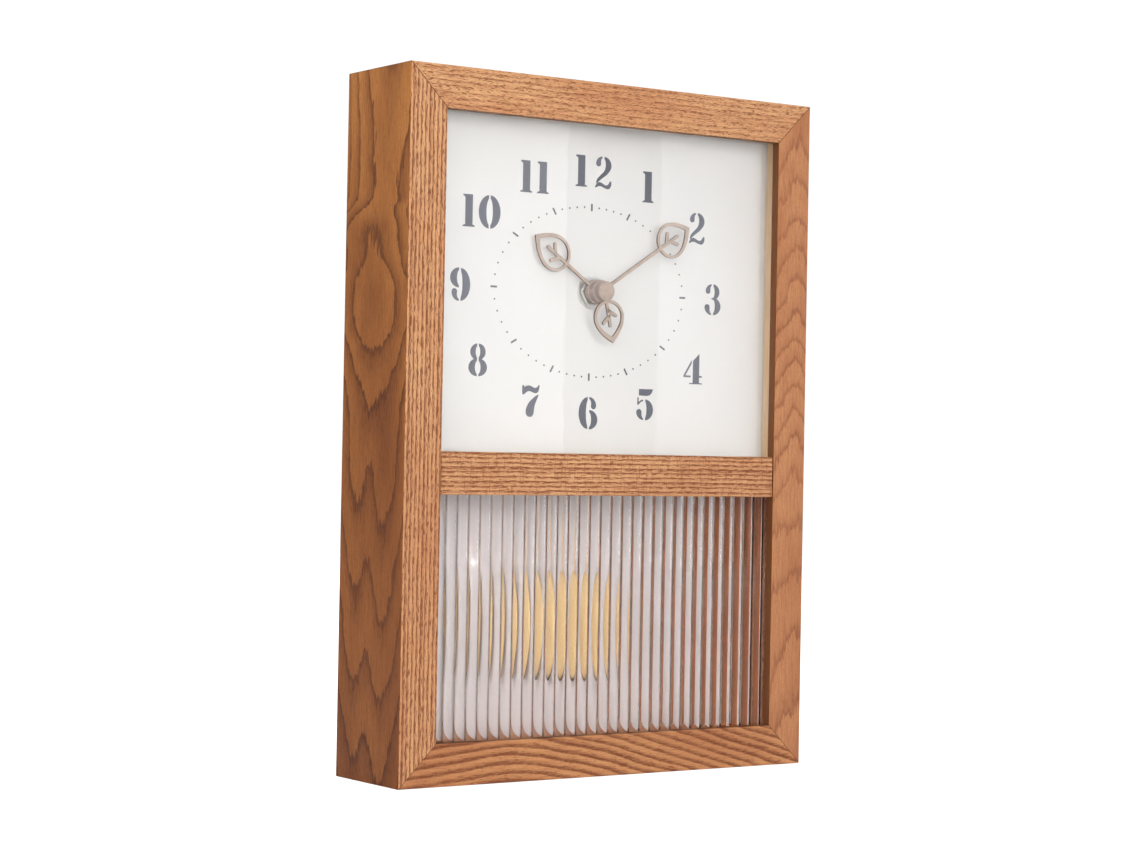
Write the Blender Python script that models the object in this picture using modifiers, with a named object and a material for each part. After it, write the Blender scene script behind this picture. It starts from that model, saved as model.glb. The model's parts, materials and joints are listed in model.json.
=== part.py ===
"""Wooden case clock with a printed dial, leaf hands, a reeded lower window and a pendulum.

Metres, +Z up. The origin is at the middle of the underside, and the front faces -Y.
Every depth below is measured from the front face towards the back.
"""
import math

import bmesh
import bpy
from mathutils import Vector

# ---------------------------------------------------------------- case
WIDTH = 0.230
HEIGHT = 0.324
DEPTH = 0.056
FACE = 0.0195            # width of the wooden strip around the windows
LIP = 0.0050             # thickness of that strip, in front of the glass
WALL = 0.0065            # thickness of the case walls behind it
RAIL_TOP = 0.1505        # upper edge of the rail between the windows
RAIL_LOW = 0.1310        # lower edge of it
RAIL_WEB = 0.0065        # thickness of the rail's web, between the two glasses
EASED = 0.0005           # rounding of the long wooden edges
GAP = 0.0003             # clearance between touching pieces

INNER_X = WIDTH / 2 - WALL - GAP         # half width of what fits between the walls
INNER_LOW = WALL + GAP
INNER_TOP = HEIGHT - WALL - GAP
WEB_LOW = (RAIL_TOP + RAIL_LOW) / 2 - RAIL_WEB / 2
WEB_TOP = WEB_LOW + RAIL_WEB

# ---------------------------------------------------------------- windows and dial
GLASS_FRONT = LIP + GAP
GLASS_BACK = GLASS_FRONT + 0.0030
DIAL_FRONT = 0.0238
DIAL_BACK = DIAL_FRONT + 0.0030
SPACER_BACK = DIAL_FRONT - GAP
SPACER_THICK = 0.0022
RIB_PITCH = 0.0061
RIB_RADIUS = 0.0035
RIB_COUNT = 35
RIB_STEPS = 4            # flat facets across one rib
REEDED_BACK = GLASS_FRONT + 0.0045
BEAD_WIDE = 0.0050
BEAD_DEEP = 0.0060
FLOOR_TOP = 0.0150       # top of the board that floors the pendulum's compartment
FLOOR_HALF = 0.0974      # half width of it, between the lower corner blocks

# ---------------------------------------------------------------- back
PANEL_FRONT = 0.0512
PANEL_BACK = 0.0542
OPENING_HALF = 0.0340    # access opening behind the movement
OPENING_LOW = 0.1580
OPENING_TOP = 0.2620
BLOCK = 0.0102           # side of the glue blocks in the corners
LOW_BLOCK_HIGH = 0.0077
DIAL_BLOCK_BACK = 0.0371
SCREW_RADIUS = 0.0015
SCREW_HEAD_RADIUS = 0.0032
SCREW_LENGTH = 0.0160

# ---------------------------------------------------------------- movement
AXIS_Z = 0.2274          # height of the hands' axis
CASE_HALF = 0.0290       # half width of the movement's covers
CASE_LOW = 0.1620
CASE_TOP = 0.2560
COVER_FRONT = DIAL_BACK + GAP
COVER_SPLIT = 0.0355
COVER_BACK = 0.0442
COVER_WALL = 0.0015
BACK_WALL = 0.0012
BATTERY_Z = 0.2035
BATTERY_RADIUS = 0.0071
BATTERY_HALF = 0.0245
BATTERY_DEPTH = 0.0361
COIL_Z = AXIS_Z + 0.0211
PIVOT_Z = 0.1890
PENDULUM_COIL_Z = 0.1750
SLOT_HALF = 0.0100       # half width of the slot the pendulum lever swings in
SLOT_DEPTH = (0.0316, 0.0382)
PIN_SOCKET_RADIUS = 0.0011

BUSHING_INNER = 0.0029
BUSHING_OUTER = 0.0040
HOUR_TUBE_INNER = 0.0019
HOUR_TUBE_OUTER = 0.0026
MINUTE_TUBE_INNER = 0.0008
MINUTE_TUBE_OUTER = 0.0016
ARBOR_RADIUS = 0.0005
SOCKET_RADIUS = 0.0008
ARBOR_FRONT = 0.0282
ARBOR_BACK = 0.0436
SETTING_RADIUS = 0.0008
ROTOR_RADIUS = 0.0030
KNOB_RADIUS = 0.0050
KNOB_ROOT = 0.0045
KNOB_RIBS = 18

# Wheel train: the arbors' places relative to the hands' axis, (x, z).
RUN_MODULE = 0.00045
THIRD_AT = (-0.5 * (6 + 45) * RUN_MODULE, 0.0)
CENTRE_MODULE = 2 * abs(THIRD_AT[0]) / (6 + 48)
SECOND_MODULE = 0.0005
INTERMEDIATE_DISTANCE = 0.5 * (6 + 30) * SECOND_MODULE
INTERMEDIATE_AT = (
    INTERMEDIATE_DISTANCE * math.cos(math.radians(45)),
    INTERMEDIATE_DISTANCE * math.sin(math.radians(45)),
)
ROTOR_MODULE = 0.0004
ROTOR_AT = (INTERMEDIATE_AT[0] + 0.5 * (6 + 36) * ROTOR_MODULE, INTERMEDIATE_AT[1])
MOTION_MODULE = 0.0005
MOTION_DISTANCE = 0.5 * (12 + 36) * MOTION_MODULE
MINUTE_AT = (
    MOTION_DISTANCE * math.cos(math.radians(-20)),
    MOTION_DISTANCE * math.sin(math.radians(-20)),
)
HOUR_MODULE = 2 * MOTION_DISTANCE / (9 + 36)

# Depths of the movement's turning pieces, front to back.
ROTOR_DRUM = (0.0397, 0.0417)
ROTOR_PINION = (0.0381, 0.0399)
INTERMEDIATE_WHEEL = (0.0384, 0.0392)
INTERMEDIATE_PINION = (0.0364, 0.0386)
INTERMEDIATE_FRONT = 0.0362
SECOND_WHEEL = (0.0368, 0.0376)
SECOND_PINION = (0.0346, 0.0370)
SECOND_FRONT = 0.0118
THIRD_WHEEL = (0.0350, 0.0358)
THIRD_PINION = (0.0327, 0.0352)
CENTRE_WHEEL = (0.0331, 0.0339)
CANNON_PINION = (0.0312, 0.0333)
MINUTE_TUBE = (0.0140, 0.0314)
MINUTE_BORE = (0.0135, 0.0342)
MINUTE_WHEEL = (0.0316, 0.0324)
MINUTE_PINION = (0.0298, 0.0318)
HOUR_WHEEL = (0.0299, 0.0307)
HOUR_TUBE = (0.0176, 0.0301)
HOUR_BORE = (0.0171, 0.0310)
SETTING_BACK = 0.0470
KNOB = (0.0446, 0.0494)
KNOB_BORE = (0.0440, 0.0473)

# ---------------------------------------------------------------- hands, at 10:09:28
HAND_THICK = 0.0012
HAND_ARM = 0.0016        # width of the arms and of the leaf veins
LEAF_BAND = 0.0015       # width of the strip around a leaf
LEAF_WIDE = 0.0172
LEAF_FULLNESS = 1.9      # the higher, the rounder a leaf stays towards its tip
SECOND_ANGLE = 168.0     # degrees clockwise from twelve
MINUTE_ANGLE = 56.8
HOUR_ANGLE = 304.7

# ---------------------------------------------------------------- pendulum
BOB_RADIUS = 0.0263
BOB_Z = 0.0680
BOB_FRONT = 0.0289
BOB_BACK = 0.0332
ROD_FRONT = 0.0335
ROD_BACK = 0.0345
ROD_HALF = 0.0014
LEVER_FRONT = 0.0348
LEVER_BACK = 0.0360
LEVER_LOW = 0.1530
HOOK_Z = 0.1565
ROD_LOW = BOB_Z - 0.0120
EYE_RADIUS = 0.0024
PEG_RADIUS = 0.0008


# ================================================================ scene and materials
def clear_scene():
    for old in list(bpy.data.objects):
        bpy.data.objects.remove(old, do_unlink=True)


clear_scene()
PARTS = bpy.data.collections.new("pendulum_clock")
TOOLS = bpy.data.collections.new("cutters")
bpy.context.scene.collection.children.link(PARTS)
bpy.context.scene.collection.children.link(TOOLS)


def material(name, colour, roughness, metallic=0.0):
    made = bpy.data.materials.new(name)
    made.use_nodes = True
    shader = made.node_tree.nodes["Principled BSDF"]
    shader.inputs["Base Color"].default_value = (*colour, 1.0)
    shader.inputs["Roughness"].default_value = roughness
    shader.inputs["Metallic"].default_value = metallic
    return made


ASH = material("oiled_ash", (0.51, 0.25, 0.12), 0.45)
PALE_WOOD = material("pale_wood", (0.62, 0.50, 0.36), 0.60)
GLASS = material("clear_glass", (0.93, 0.95, 0.94), 0.05)
DIAL_PAPER = material("dial_white", (0.88, 0.88, 0.86), 0.55)
PANEL_WHITE = material("panel_white", (0.80, 0.80, 0.79), 0.60)
HAND_METAL = material("rose_grey_metal", (0.33, 0.23, 0.20), 0.35, 0.8)
CHROME = material("chrome", (0.80, 0.80, 0.80), 0.12, 1.0)
BRASS = material("brass", (0.80, 0.62, 0.30), 0.25, 1.0)
STEEL = material("steel", (0.55, 0.55, 0.56), 0.35, 1.0)
BLACK_PLASTIC = material("black_plastic", (0.03, 0.03, 0.03), 0.45)
WHITE_PLASTIC = material("white_plastic", (0.80, 0.80, 0.78), 0.40)
COPPER = material("enamelled_copper", (0.60, 0.25, 0.10), 0.35, 0.9)
GREEN_BOARD = material("circuit_board", (0.05, 0.22, 0.10), 0.50)
MAGNET = material("ferrite", (0.09, 0.09, 0.10), 0.55)
BATTERY_SKIN = material("battery_sleeve", (0.10, 0.11, 0.12), 0.35)


def link(obj, finish):
    PARTS.objects.link(obj)
    obj.data.materials.clear()
    obj.data.materials.append(finish)
    return obj


def as_tool(obj):
    for home in list(obj.users_collection):
        home.objects.unlink(obj)
    TOOLS.objects.link(obj)
    obj.hide_render = True
    obj.display_type = "WIRE"
    return obj


def boolean(target, tool, operation):
    as_tool(tool)
    change = target.modifiers.new(operation.title(), "BOOLEAN")
    change.operation = operation
    change.solver = "EXACT"
    change.object = tool


def cut(target, tool):
    boolean(target, tool, "DIFFERENCE")


def join(target, tool):
    boolean(target, tool, "UNION")


# ================================================================ shapes
def y_of(depth):
    """World Y of a plane that lies this deep behind the front face."""
    return depth - DEPTH / 2


def object_from(name, bm):
    mesh = bpy.data.meshes.new(name)
    bm.to_mesh(mesh)
    bm.free()
    return bpy.data.objects.new(name, mesh)


def box(name, x, depth, z, finish, eased=0.0):
    """A block between two values of x, of depth and of z."""
    low = Vector((x[0], y_of(depth[0]), z[0]))
    high = Vector((x[1], y_of(depth[1]), z[1]))
    bm = bmesh.new()
    bmesh.ops.create_cube(bm, size=1.0)
    bmesh.ops.scale(bm, vec=high - low, verts=bm.verts)
    if eased:
        bmesh.ops.bevel(bm, geom=bm.edges[:], offset=eased, segments=1, affect="EDGES")
    block = link(object_from(name, bm), finish)
    block.location = (low + high) / 2
    return block


def turned(name, profile, x, z, finish, ring=False, sides=32):
    """A piece turned about an axis along Y. Its profile is (radius, depth), front to back."""
    bm = bmesh.new()
    points = [bm.verts.new((radius, 0.0, -depth)) for radius, depth in profile]
    for first, second in zip(points, points[1:]):
        bm.edges.new((first, second))
    if ring:
        bm.edges.new((points[-1], points[0]))
    piece = link(object_from(name, bm), finish)
    screw = piece.modifiers.new("Turn", "SCREW")
    screw.axis = "Z"
    screw.angle = math.tau
    screw.steps = sides
    screw.render_steps = sides
    screw.use_merge_vertices = True
    screw.merge_threshold = 0.00001
    screw.use_smooth_shade = True
    piece.location = (x, y_of(0.0), z)
    piece.rotation_euler = (math.radians(90), 0.0, 0.0)
    return piece


def drum(name, radius, depth, x, z, finish, sides=24):
    """A plain round piece along Y, between two depths."""
    front, back = depth
    profile = [(0.0, front), (radius, front), (radius, back), (0.0, back)]
    return turned(name, profile, x, z, finish, sides=sides)


def ring(name, inner, outer, depth, x, z, finish, sides=32):
    front, back = depth
    profile = [(outer, front), (outer, back), (inner, back), (inner, front)]
    return turned(name, profile, x, z, finish, ring=True, sides=sides)


def barrel(name, radius, x, depth, z, finish, sides=24):
    """A round piece along X, between two values of x."""
    bm = bmesh.new()
    bmesh.ops.create_cone(
        bm, cap_ends=True, segments=sides, radius1=radius, radius2=radius, depth=x[1] - x[0]
    )
    piece = link(object_from(name, bm), finish)
    piece.data.shade_smooth()
    piece.data.set_sharp_from_angle(angle=math.radians(40))
    piece.location = ((x[0] + x[1]) / 2, y_of(depth), z)
    piece.rotation_euler = (0.0, math.radians(90), 0.0)
    return piece


def plate(name, outlines, thickness, finish):
    """A flat plate from closed outlines in X and Y; an outline inside another is a hole."""
    curve = bpy.data.curves.new(name, "CURVE")
    curve.dimensions = "2D"
    curve.fill_mode = "BOTH"
    curve.extrude = thickness / 2
    for outline in outlines:
        spline = curve.splines.new("POLY")
        spline.points.add(len(outline) - 1)
        for point, (x, y) in zip(spline.points, outline):
            point.co = (x, y, 0.0, 1.0)
        spline.use_cyclic_u = True
    drawn = bpy.data.objects.new(name, curve)
    PARTS.objects.link(drawn)
    bpy.context.view_layer.update()
    evaluated = drawn.evaluated_get(bpy.context.evaluated_depsgraph_get())
    mesh = bpy.data.meshes.new_from_object(evaluated)
    bm = bmesh.new()
    bm.from_mesh(mesh)
    bmesh.ops.remove_doubles(bm, verts=bm.verts, dist=0.00001)
    bmesh.ops.recalc_face_normals(bm, faces=bm.faces)
    bm.to_mesh(mesh)
    bm.free()
    piece = bpy.data.objects.new(name, mesh)
    piece.matrix_world = drawn.matrix_world
    bpy.data.objects.remove(drawn, do_unlink=True)
    bpy.data.curves.remove(curve)
    piece.name = name
    return link(piece, finish)


def upright_plate(name, outlines, depth, x, z, finish):
    """A plate that stands facing the front, between two depths; outlines are (x, z)."""
    piece = plate(name, outlines, depth[1] - depth[0], finish)
    piece.location = (x, y_of((depth[0] + depth[1]) / 2), z)
    piece.rotation_euler = (math.radians(90), 0.0, 0.0)
    return piece


def round_outline(radius, sides):
    turns = [math.tau * side / sides for side in range(sides)]
    return [(radius * math.cos(turn), radius * math.sin(turn)) for turn in turns]


# ================================================================ wooden case
def mitred_board(name, length, location, turn):
    """One L-section board, its outer face away from the case, mitred at both ends."""
    section = [
        (0.0, 0.0),
        (DEPTH, 0.0),
        (DEPTH, -WALL),
        (LIP, -WALL),
        (LIP, -FACE),
        (0.0, -FACE),
    ]
    bm = bmesh.new()
    half = length / 2
    start = [bm.verts.new((-half, y, z)) for y, z in section]
    cap = bm.faces.new(start)
    swept = bmesh.ops.extrude_face_region(bm, geom=[cap])
    moved = [item for item in swept["geom"] if isinstance(item, bmesh.types.BMVert)]
    bmesh.ops.translate(bm, verts=moved, vec=(length, 0.0, 0.0))
    bmesh.ops.recalc_face_normals(bm, faces=bm.faces)
    inside_corner = Vector((0.0, LIP, -WALL)).yz
    rounded = [
        edge
        for edge in bm.edges
        if abs(edge.verts[0].co.x - edge.verts[1].co.x) > half
        and (edge.verts[0].co.yz - inside_corner).length > EASED
    ]
    bmesh.ops.bevel(bm, geom=rounded, offset=EASED, segments=2, affect="EDGES", profile=0.5)
    for side in (-1, 1):
        outward = Vector((side, 0.0, -1.0)).normalized()
        corner = Vector((side * half, 0.0, 0.0)) - outward * GAP / 2
        geometry = bm.verts[:] + bm.edges[:] + bm.faces[:]
        result = bmesh.ops.bisect_plane(
            bm, geom=geometry, plane_co=corner, plane_no=outward, clear_outer=True
        )
        rim = [item for item in result["geom_cut"] if isinstance(item, bmesh.types.BMEdge)]
        bmesh.ops.contextual_create(bm, geom=rim)
    bmesh.ops.recalc_face_normals(bm, faces=bm.faces)
    board = link(object_from(name, bm), ASH)
    board.location = location
    board.rotation_euler = (0.0, math.radians(turn), 0.0)
    return board


def make_case():
    front = y_of(0.0)
    mitred_board("top_board", WIDTH, (0.0, front, HEIGHT), 0)
    mitred_board("bottom_board", WIDTH, (0.0, front, 0.0), 180)
    mitred_board("left_side_board", HEIGHT, (-WIDTH / 2, front, HEIGHT / 2), -90)
    mitred_board("right_side_board", HEIGHT, (WIDTH / 2, front, HEIGHT / 2), 90)


def make_middle_rail():
    """A face strip flush with the side strips, and a web between the two glasses."""
    face_half = WIDTH / 2 - FACE - GAP
    rail = box(
        "middle_rail", (-face_half, face_half), (0.0, LIP), (RAIL_LOW, RAIL_TOP), ASH, EASED
    )
    web = box("rail_web", (-INNER_X, INNER_X), (GLASS_FRONT, SPACER_BACK), (WEB_LOW, WEB_TOP), ASH)
    neck_x = (-face_half + 2 * EASED, face_half - 2 * EASED)
    neck_depth = (LIP - 0.0010, GLASS_FRONT + 0.0010)
    neck_z = (WEB_LOW + EASED, WEB_TOP - EASED)
    join(rail, box("rail_neck", neck_x, neck_depth, neck_z, ASH))
    join(rail, web)


# ================================================================ windows
def make_dial_glass():
    box(
        "dial_glass",
        (-INNER_X, INNER_X),
        (GLASS_FRONT, GLASS_BACK),
        (WEB_TOP + GAP, INNER_TOP),
        GLASS,
    )


def make_reeded_glass():
    """Flat at the back, a row of round ribs at the front."""
    valley = GLASS_FRONT + RIB_RADIUS - math.sqrt(RIB_RADIUS**2 - (RIB_PITCH / 2) ** 2)
    edge = RIB_COUNT * RIB_PITCH / 2
    spread = math.asin(RIB_PITCH / 2 / RIB_RADIUS)
    outline = [(INNER_X, valley), (INNER_X, REEDED_BACK), (-INNER_X, REEDED_BACK), (-INNER_X, valley)]
    for rib in range(RIB_COUNT):
        middle = -edge + (rib + 0.5) * RIB_PITCH
        for step in range(RIB_STEPS):
            angle = spread * (2 * step / RIB_STEPS - 1)
            depth = GLASS_FRONT + RIB_RADIUS * (1 - math.cos(angle))
            outline.append((middle + RIB_RADIUS * math.sin(angle), depth))
    outline.append((edge, valley))
    low, high = INNER_LOW, WEB_LOW - GAP
    in_world = [(x, y_of(depth)) for x, depth in outline]
    glass = plate("reeded_glass", [in_world], high - low, GLASS)
    glass.location = (0.0, 0.0, (low + high) / 2)


def make_frame_strips(prefix, thick, depth, low, high, finish):
    """Four strips that line the walls: two upright, and two between them."""
    inner = INNER_X - thick - GAP
    box(prefix + "_left", (-INNER_X, -INNER_X + thick), depth, (low, high), finish)
    box(prefix + "_right", (INNER_X - thick, INNER_X), depth, (low, high), finish)
    box(prefix + "_bottom", (-inner, inner), depth, (low, low + thick), finish)
    box(prefix + "_top", (-inner, inner), depth, (high - thick, high), finish)


def make_dial_panel():
    dial = box(
        "dial_panel",
        (-INNER_X, INNER_X),
        (DIAL_FRONT, DIAL_BACK),
        (WEB_TOP + GAP, INNER_TOP),
        DIAL_PAPER,
    )
    hole_depth = (DIAL_FRONT - GAP, DIAL_BACK + GAP)
    cut(dial, drum("dial_hole", BUSHING_OUTER + GAP, hole_depth, 0.0, AXIS_Z, DIAL_PAPER, 24))


# ================================================================ back
def screw_places():
    low = INNER_LOW + LOW_BLOCK_HIGH / 2
    high = INNER_TOP - BLOCK / 2
    across = INNER_X - BLOCK / 2
    return {
        "lower_left": (-across, low),
        "lower_right": (across, low),
        "upper_left": (-across, high),
        "upper_right": (across, high),
    }


def make_blocks():
    """Glue blocks: four behind the panels' corners, two under the dial."""
    back = PANEL_FRONT - GAP
    for place, (x, z) in screw_places().items():
        upper = place.startswith("upper")
        high = BLOCK if upper else LOW_BLOCK_HIGH
        front = DIAL_BACK + GAP if upper else REEDED_BACK + BEAD_DEEP + 2 * GAP
        block = box(
            "corner_block_" + place,
            (x - BLOCK / 2, x + BLOCK / 2),
            (front, back),
            (z - high / 2, z + high / 2),
            PALE_WOOD,
        )
        hole_depth = (PANEL_BACK - SCREW_LENGTH, back + 2 * GAP)
        cut(block, drum("hole_" + place, SCREW_RADIUS + GAP, hole_depth, x, z, PALE_WOOD, 12))
    for side, x in (("left", -INNER_X), ("right", INNER_X - BLOCK)):
        box(
            "dial_block_" + side,
            (x, x + BLOCK),
            (DIAL_BACK + GAP, DIAL_BLOCK_BACK),
            (WEB_TOP + GAP, WEB_TOP + GAP + BLOCK),
            PALE_WOOD,
        )


def make_floor():
    """The board under the pendulum, between the lower corner blocks."""
    depth = (REEDED_BACK + BEAD_DEEP + 2 * GAP, PANEL_FRONT - GAP)
    box("compartment_floor", (-FLOOR_HALF, FLOOR_HALF), depth, (INNER_LOW, FLOOR_TOP), ASH)


def make_back_panel():
    panel = box(
        "back_panel",
        (-INNER_X, INNER_X),
        (PANEL_FRONT, PANEL_BACK),
        (INNER_LOW, INNER_TOP),
        PANEL_WHITE,
    )
    through = (PANEL_FRONT - GAP, PANEL_BACK + GAP)
    opening = box(
        "panel_opening",
        (-OPENING_HALF, OPENING_HALF),
        through,
        (OPENING_LOW, OPENING_TOP),
        PANEL_WHITE,
    )
    cut(panel, opening)
    for place, (x, z) in screw_places().items():
        cut(panel, drum("panel_hole_" + place, SCREW_RADIUS + GAP, through, x, z, PANEL_WHITE, 12))


def make_back_screws():
    """Pan head screws: a domed head on the panel and a pointed shank in the block."""
    head_back = PANEL_BACK + 0.0016
    seat = PANEL_BACK + GAP
    tip = PANEL_BACK - SCREW_LENGTH + 0.0010
    for place, (x, z) in screw_places().items():
        profile = [
            (0.0, tip),
            (SCREW_RADIUS, tip + 0.0025),
            (SCREW_RADIUS, seat),
            (SCREW_HEAD_RADIUS, seat),
            (SCREW_HEAD_RADIUS, seat + 0.0005),
            (SCREW_HEAD_RADIUS * 0.75, head_back - 0.0002),
            (0.0, head_back),
        ]
        turned("back_screw_" + place, profile, x, z, STEEL, sides=12)


# ================================================================ wheels
def gear_outline(teeth, module, toward, tooth_there):
    """Pointed teeth on a wheel, flat-topped ones on a pinion; one is centred on `toward`, or a gap."""
    pitch_radius = teeth * module / 2
    tip_radius = pitch_radius + 0.70 * module
    root_radius = pitch_radius - 1.05 * module
    step = math.tau / teeth
    start = toward if tooth_there else toward + step / 2
    if teeth > 12:
        shape = ((-0.5, root_radius), (0.0, tip_radius))
    else:
        shape = ((-0.24, root_radius), (-0.08, tip_radius), (0.08, tip_radius), (0.24, root_radius))
    outline = []
    for tooth in range(teeth):
        for offset, radius in shape:
            angle = start + (tooth + offset) * step
            outline.append((radius * math.cos(angle), radius * math.sin(angle)))
    return outline


def direction(start, end):
    return math.atan2(end[1] - start[1], end[0] - start[0])


def gear(name, teeth, module, depth, at, toward, tooth_there, finish):
    outline = gear_outline(teeth, module, direction(at, toward), tooth_there)
    return upright_plate(name, [outline], depth, at[0], AXIS_Z + at[1], finish)


def arbor(name, radius, depth, at, finish=STEEL, sides=10):
    return drum(name, radius, depth, at[0], AXIS_Z + at[1], finish, sides)


CENTRE = (0.0, 0.0)


def pinion(name, teeth, module, depth, at, toward, finish):
    """A small gear with one tooth that points at the wheel it drives."""
    return gear(name, teeth, module, depth, at, toward, True, finish)


def make_rotor():
    at = ROTOR_AT
    rotor = drum("rotor", ROTOR_RADIUS, ROTOR_DRUM, at[0], AXIS_Z + at[1], MAGNET, 20)
    join(rotor, pinion("rotor_pinion", 6, ROTOR_MODULE, ROTOR_PINION, at, INTERMEDIATE_AT, MAGNET))
    join(rotor, arbor("rotor_arbor", ARBOR_RADIUS, (ARBOR_FRONT, ARBOR_BACK), at))


def make_intermediate_wheel():
    at = INTERMEDIATE_AT
    finish = WHITE_PLASTIC
    wheel = gear(
        "intermediate_wheel", 36, ROTOR_MODULE, INTERMEDIATE_WHEEL, at, ROTOR_AT, False, finish
    )
    join(wheel, pinion("intermediate_pinion", 6, SECOND_MODULE, INTERMEDIATE_PINION, at, CENTRE, finish))
    join(wheel, arbor("intermediate_arbor", ARBOR_RADIUS, (INTERMEDIATE_FRONT, ARBOR_BACK), at))


def make_second_wheel():
    """The arbor runs through both tubes to carry the second hand."""
    finish = WHITE_PLASTIC
    wheel = gear(
        "second_wheel", 30, SECOND_MODULE, SECOND_WHEEL, CENTRE, INTERMEDIATE_AT, False, finish
    )
    join(wheel, pinion("second_pinion", 6, RUN_MODULE, SECOND_PINION, CENTRE, THIRD_AT, finish))
    join(wheel, arbor("second_arbor", ARBOR_RADIUS, (SECOND_FRONT, ARBOR_BACK), CENTRE))


def make_third_wheel():
    at = THIRD_AT
    finish = WHITE_PLASTIC
    wheel = gear("third_wheel", 45, RUN_MODULE, THIRD_WHEEL, at, CENTRE, False, finish)
    join(wheel, pinion("third_pinion", 6, CENTRE_MODULE, THIRD_PINION, at, CENTRE, finish))
    join(wheel, arbor("third_arbor", ARBOR_RADIUS, (ARBOR_FRONT, ARBOR_BACK), at))


def make_centre_wheel():
    """The centre wheel, its pinion and the minute tube are one moulding."""
    finish = WHITE_PLASTIC
    wheel = gear("centre_wheel", 48, CENTRE_MODULE, CENTRE_WHEEL, CENTRE, THIRD_AT, False, finish)
    join(wheel, pinion("cannon_pinion", 12, MOTION_MODULE, CANNON_PINION, CENTRE, MINUTE_AT, finish))
    join(wheel, arbor("minute_tube", MINUTE_TUBE_OUTER, MINUTE_TUBE, CENTRE, sides=16))
    cut(wheel, arbor("minute_bore", MINUTE_TUBE_INNER, MINUTE_BORE, CENTRE, sides=16))


def make_minute_wheel():
    at = MINUTE_AT
    finish = WHITE_PLASTIC
    wheel = gear("minute_wheel", 36, MOTION_MODULE, MINUTE_WHEEL, at, CENTRE, False, finish)
    join(wheel, pinion("minute_pinion", 9, HOUR_MODULE, MINUTE_PINION, at, CENTRE, finish))
    join(wheel, arbor("setting_arbor", SETTING_RADIUS, (ARBOR_FRONT, SETTING_BACK), at, sides=12))


def make_hour_wheel():
    finish = WHITE_PLASTIC
    wheel = gear("hour_wheel", 36, HOUR_MODULE, HOUR_WHEEL, CENTRE, MINUTE_AT, False, finish)
    join(wheel, arbor("hour_tube", HOUR_TUBE_OUTER, HOUR_TUBE, CENTRE, sides=16))
    cut(wheel, arbor("hour_bore", HOUR_TUBE_INNER, HOUR_BORE, CENTRE, sides=16))


def make_setting_knob():
    """A ribbed knob pressed on the setting arbor, outside the back cover."""
    corners = 2 * KNOB_RIBS
    outline = []
    for corner in range(corners):
        radius = KNOB_RADIUS if corner % 2 else KNOB_ROOT
        angle = math.tau * corner / corners
        outline.append((radius * math.cos(angle), radius * math.sin(angle)))
    at = (MINUTE_AT[0], AXIS_Z + MINUTE_AT[1])
    knob = upright_plate("setting_knob", [outline], KNOB, *at, WHITE_PLASTIC)
    cut(knob, drum("knob_bore", SETTING_RADIUS + GAP, KNOB_BORE, *at, WHITE_PLASTIC, 20))


# ================================================================ movement
ROOMS = {                       # the movement's compartments, lowest to highest
    "pendulum": (CASE_LOW + COVER_WALL, 0.1946),
    "battery": (0.1958, 0.2114),
    "train": (0.2126, CASE_TOP - COVER_WALL),
}


def lever_slot(name):
    z = (CASE_LOW - 0.001, CASE_LOW + 0.003)
    return box(name, (-SLOT_HALF, SLOT_HALF), SLOT_DEPTH, z, BLACK_PLASTIC)


def hollow(cover, depth):
    inner = CASE_HALF - COVER_WALL
    for room, z in ROOMS.items():
        cut(cover, box(cover.name + "_" + room, (-inner, inner), depth, z, BLACK_PLASTIC))


def bearing_sockets(cover, depth):
    for label, at in (("rotor", ROTOR_AT), ("third", THIRD_AT)):
        cut(cover, arbor(cover.name + "_" + label, SOCKET_RADIUS, depth, at))


def cover_box(name, depth):
    x = (-CASE_HALF, CASE_HALF)
    return box(name, x, depth, (CASE_LOW, CASE_TOP), BLACK_PLASTIC, EASED)


def pin_socket(name, depth):
    return drum(name, PIN_SOCKET_RADIUS, depth, 0.0, PIVOT_Z, BLACK_PLASTIC, 16)


def make_front_cover():
    cover = cover_box("movement_front_cover", (COVER_FRONT, COVER_SPLIT))
    inside = COVER_FRONT + COVER_WALL
    through = (COVER_FRONT - GAP, inside + GAP)
    hollow(cover, (inside, COVER_SPLIT + 0.001))
    bearing_sockets(cover, (ARBOR_FRONT - GAP, inside + GAP))
    setting = arbor("setting_socket", SETTING_RADIUS + GAP, (ARBOR_FRONT - GAP, inside + GAP), MINUTE_AT)
    cut(cover, setting)
    cut(cover, arbor("bushing_hole", BUSHING_OUTER + GAP, through, CENTRE, sides=24))
    cut(cover, lever_slot("front_slot"))
    cut(cover, pin_socket("front_pin_socket", (COVER_FRONT + 0.0006, inside + GAP)))


def make_back_cover():
    front = COVER_SPLIT + GAP
    cover = cover_box("movement_back_cover", (front, COVER_BACK))
    inside = COVER_BACK - BACK_WALL
    socket = (inside - GAP, ARBOR_BACK + GAP)
    through = (inside - GAP, COVER_BACK + GAP)
    hollow(cover, (front - 0.001, inside))
    boss_front = INTERMEDIATE_WHEEL[1] + 0.0004
    boss = arbor("intermediate_boss", 0.0015, (boss_front, inside + 0.0004), INTERMEDIATE_AT, sides=16)
    join(cover, boss)
    boss_bore = (boss_front - 0.0004, ARBOR_BACK + GAP)
    cut(cover, arbor("intermediate_socket", SOCKET_RADIUS, boss_bore, INTERMEDIATE_AT))
    bearing_sockets(cover, socket)
    cut(cover, arbor("second_socket", SOCKET_RADIUS, socket, CENTRE))
    cut(cover, arbor("setting_hole", SETTING_RADIUS + GAP, through, MINUTE_AT))
    bay = CASE_HALF - COVER_WALL
    cut(cover, box("battery_bay", (-bay, bay), through, ROOMS["battery"], BLACK_PLASTIC))
    cut(cover, lever_slot("back_slot"))
    cut(cover, pin_socket("back_pin_socket", (inside - GAP, COVER_BACK - 0.0003)))


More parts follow.
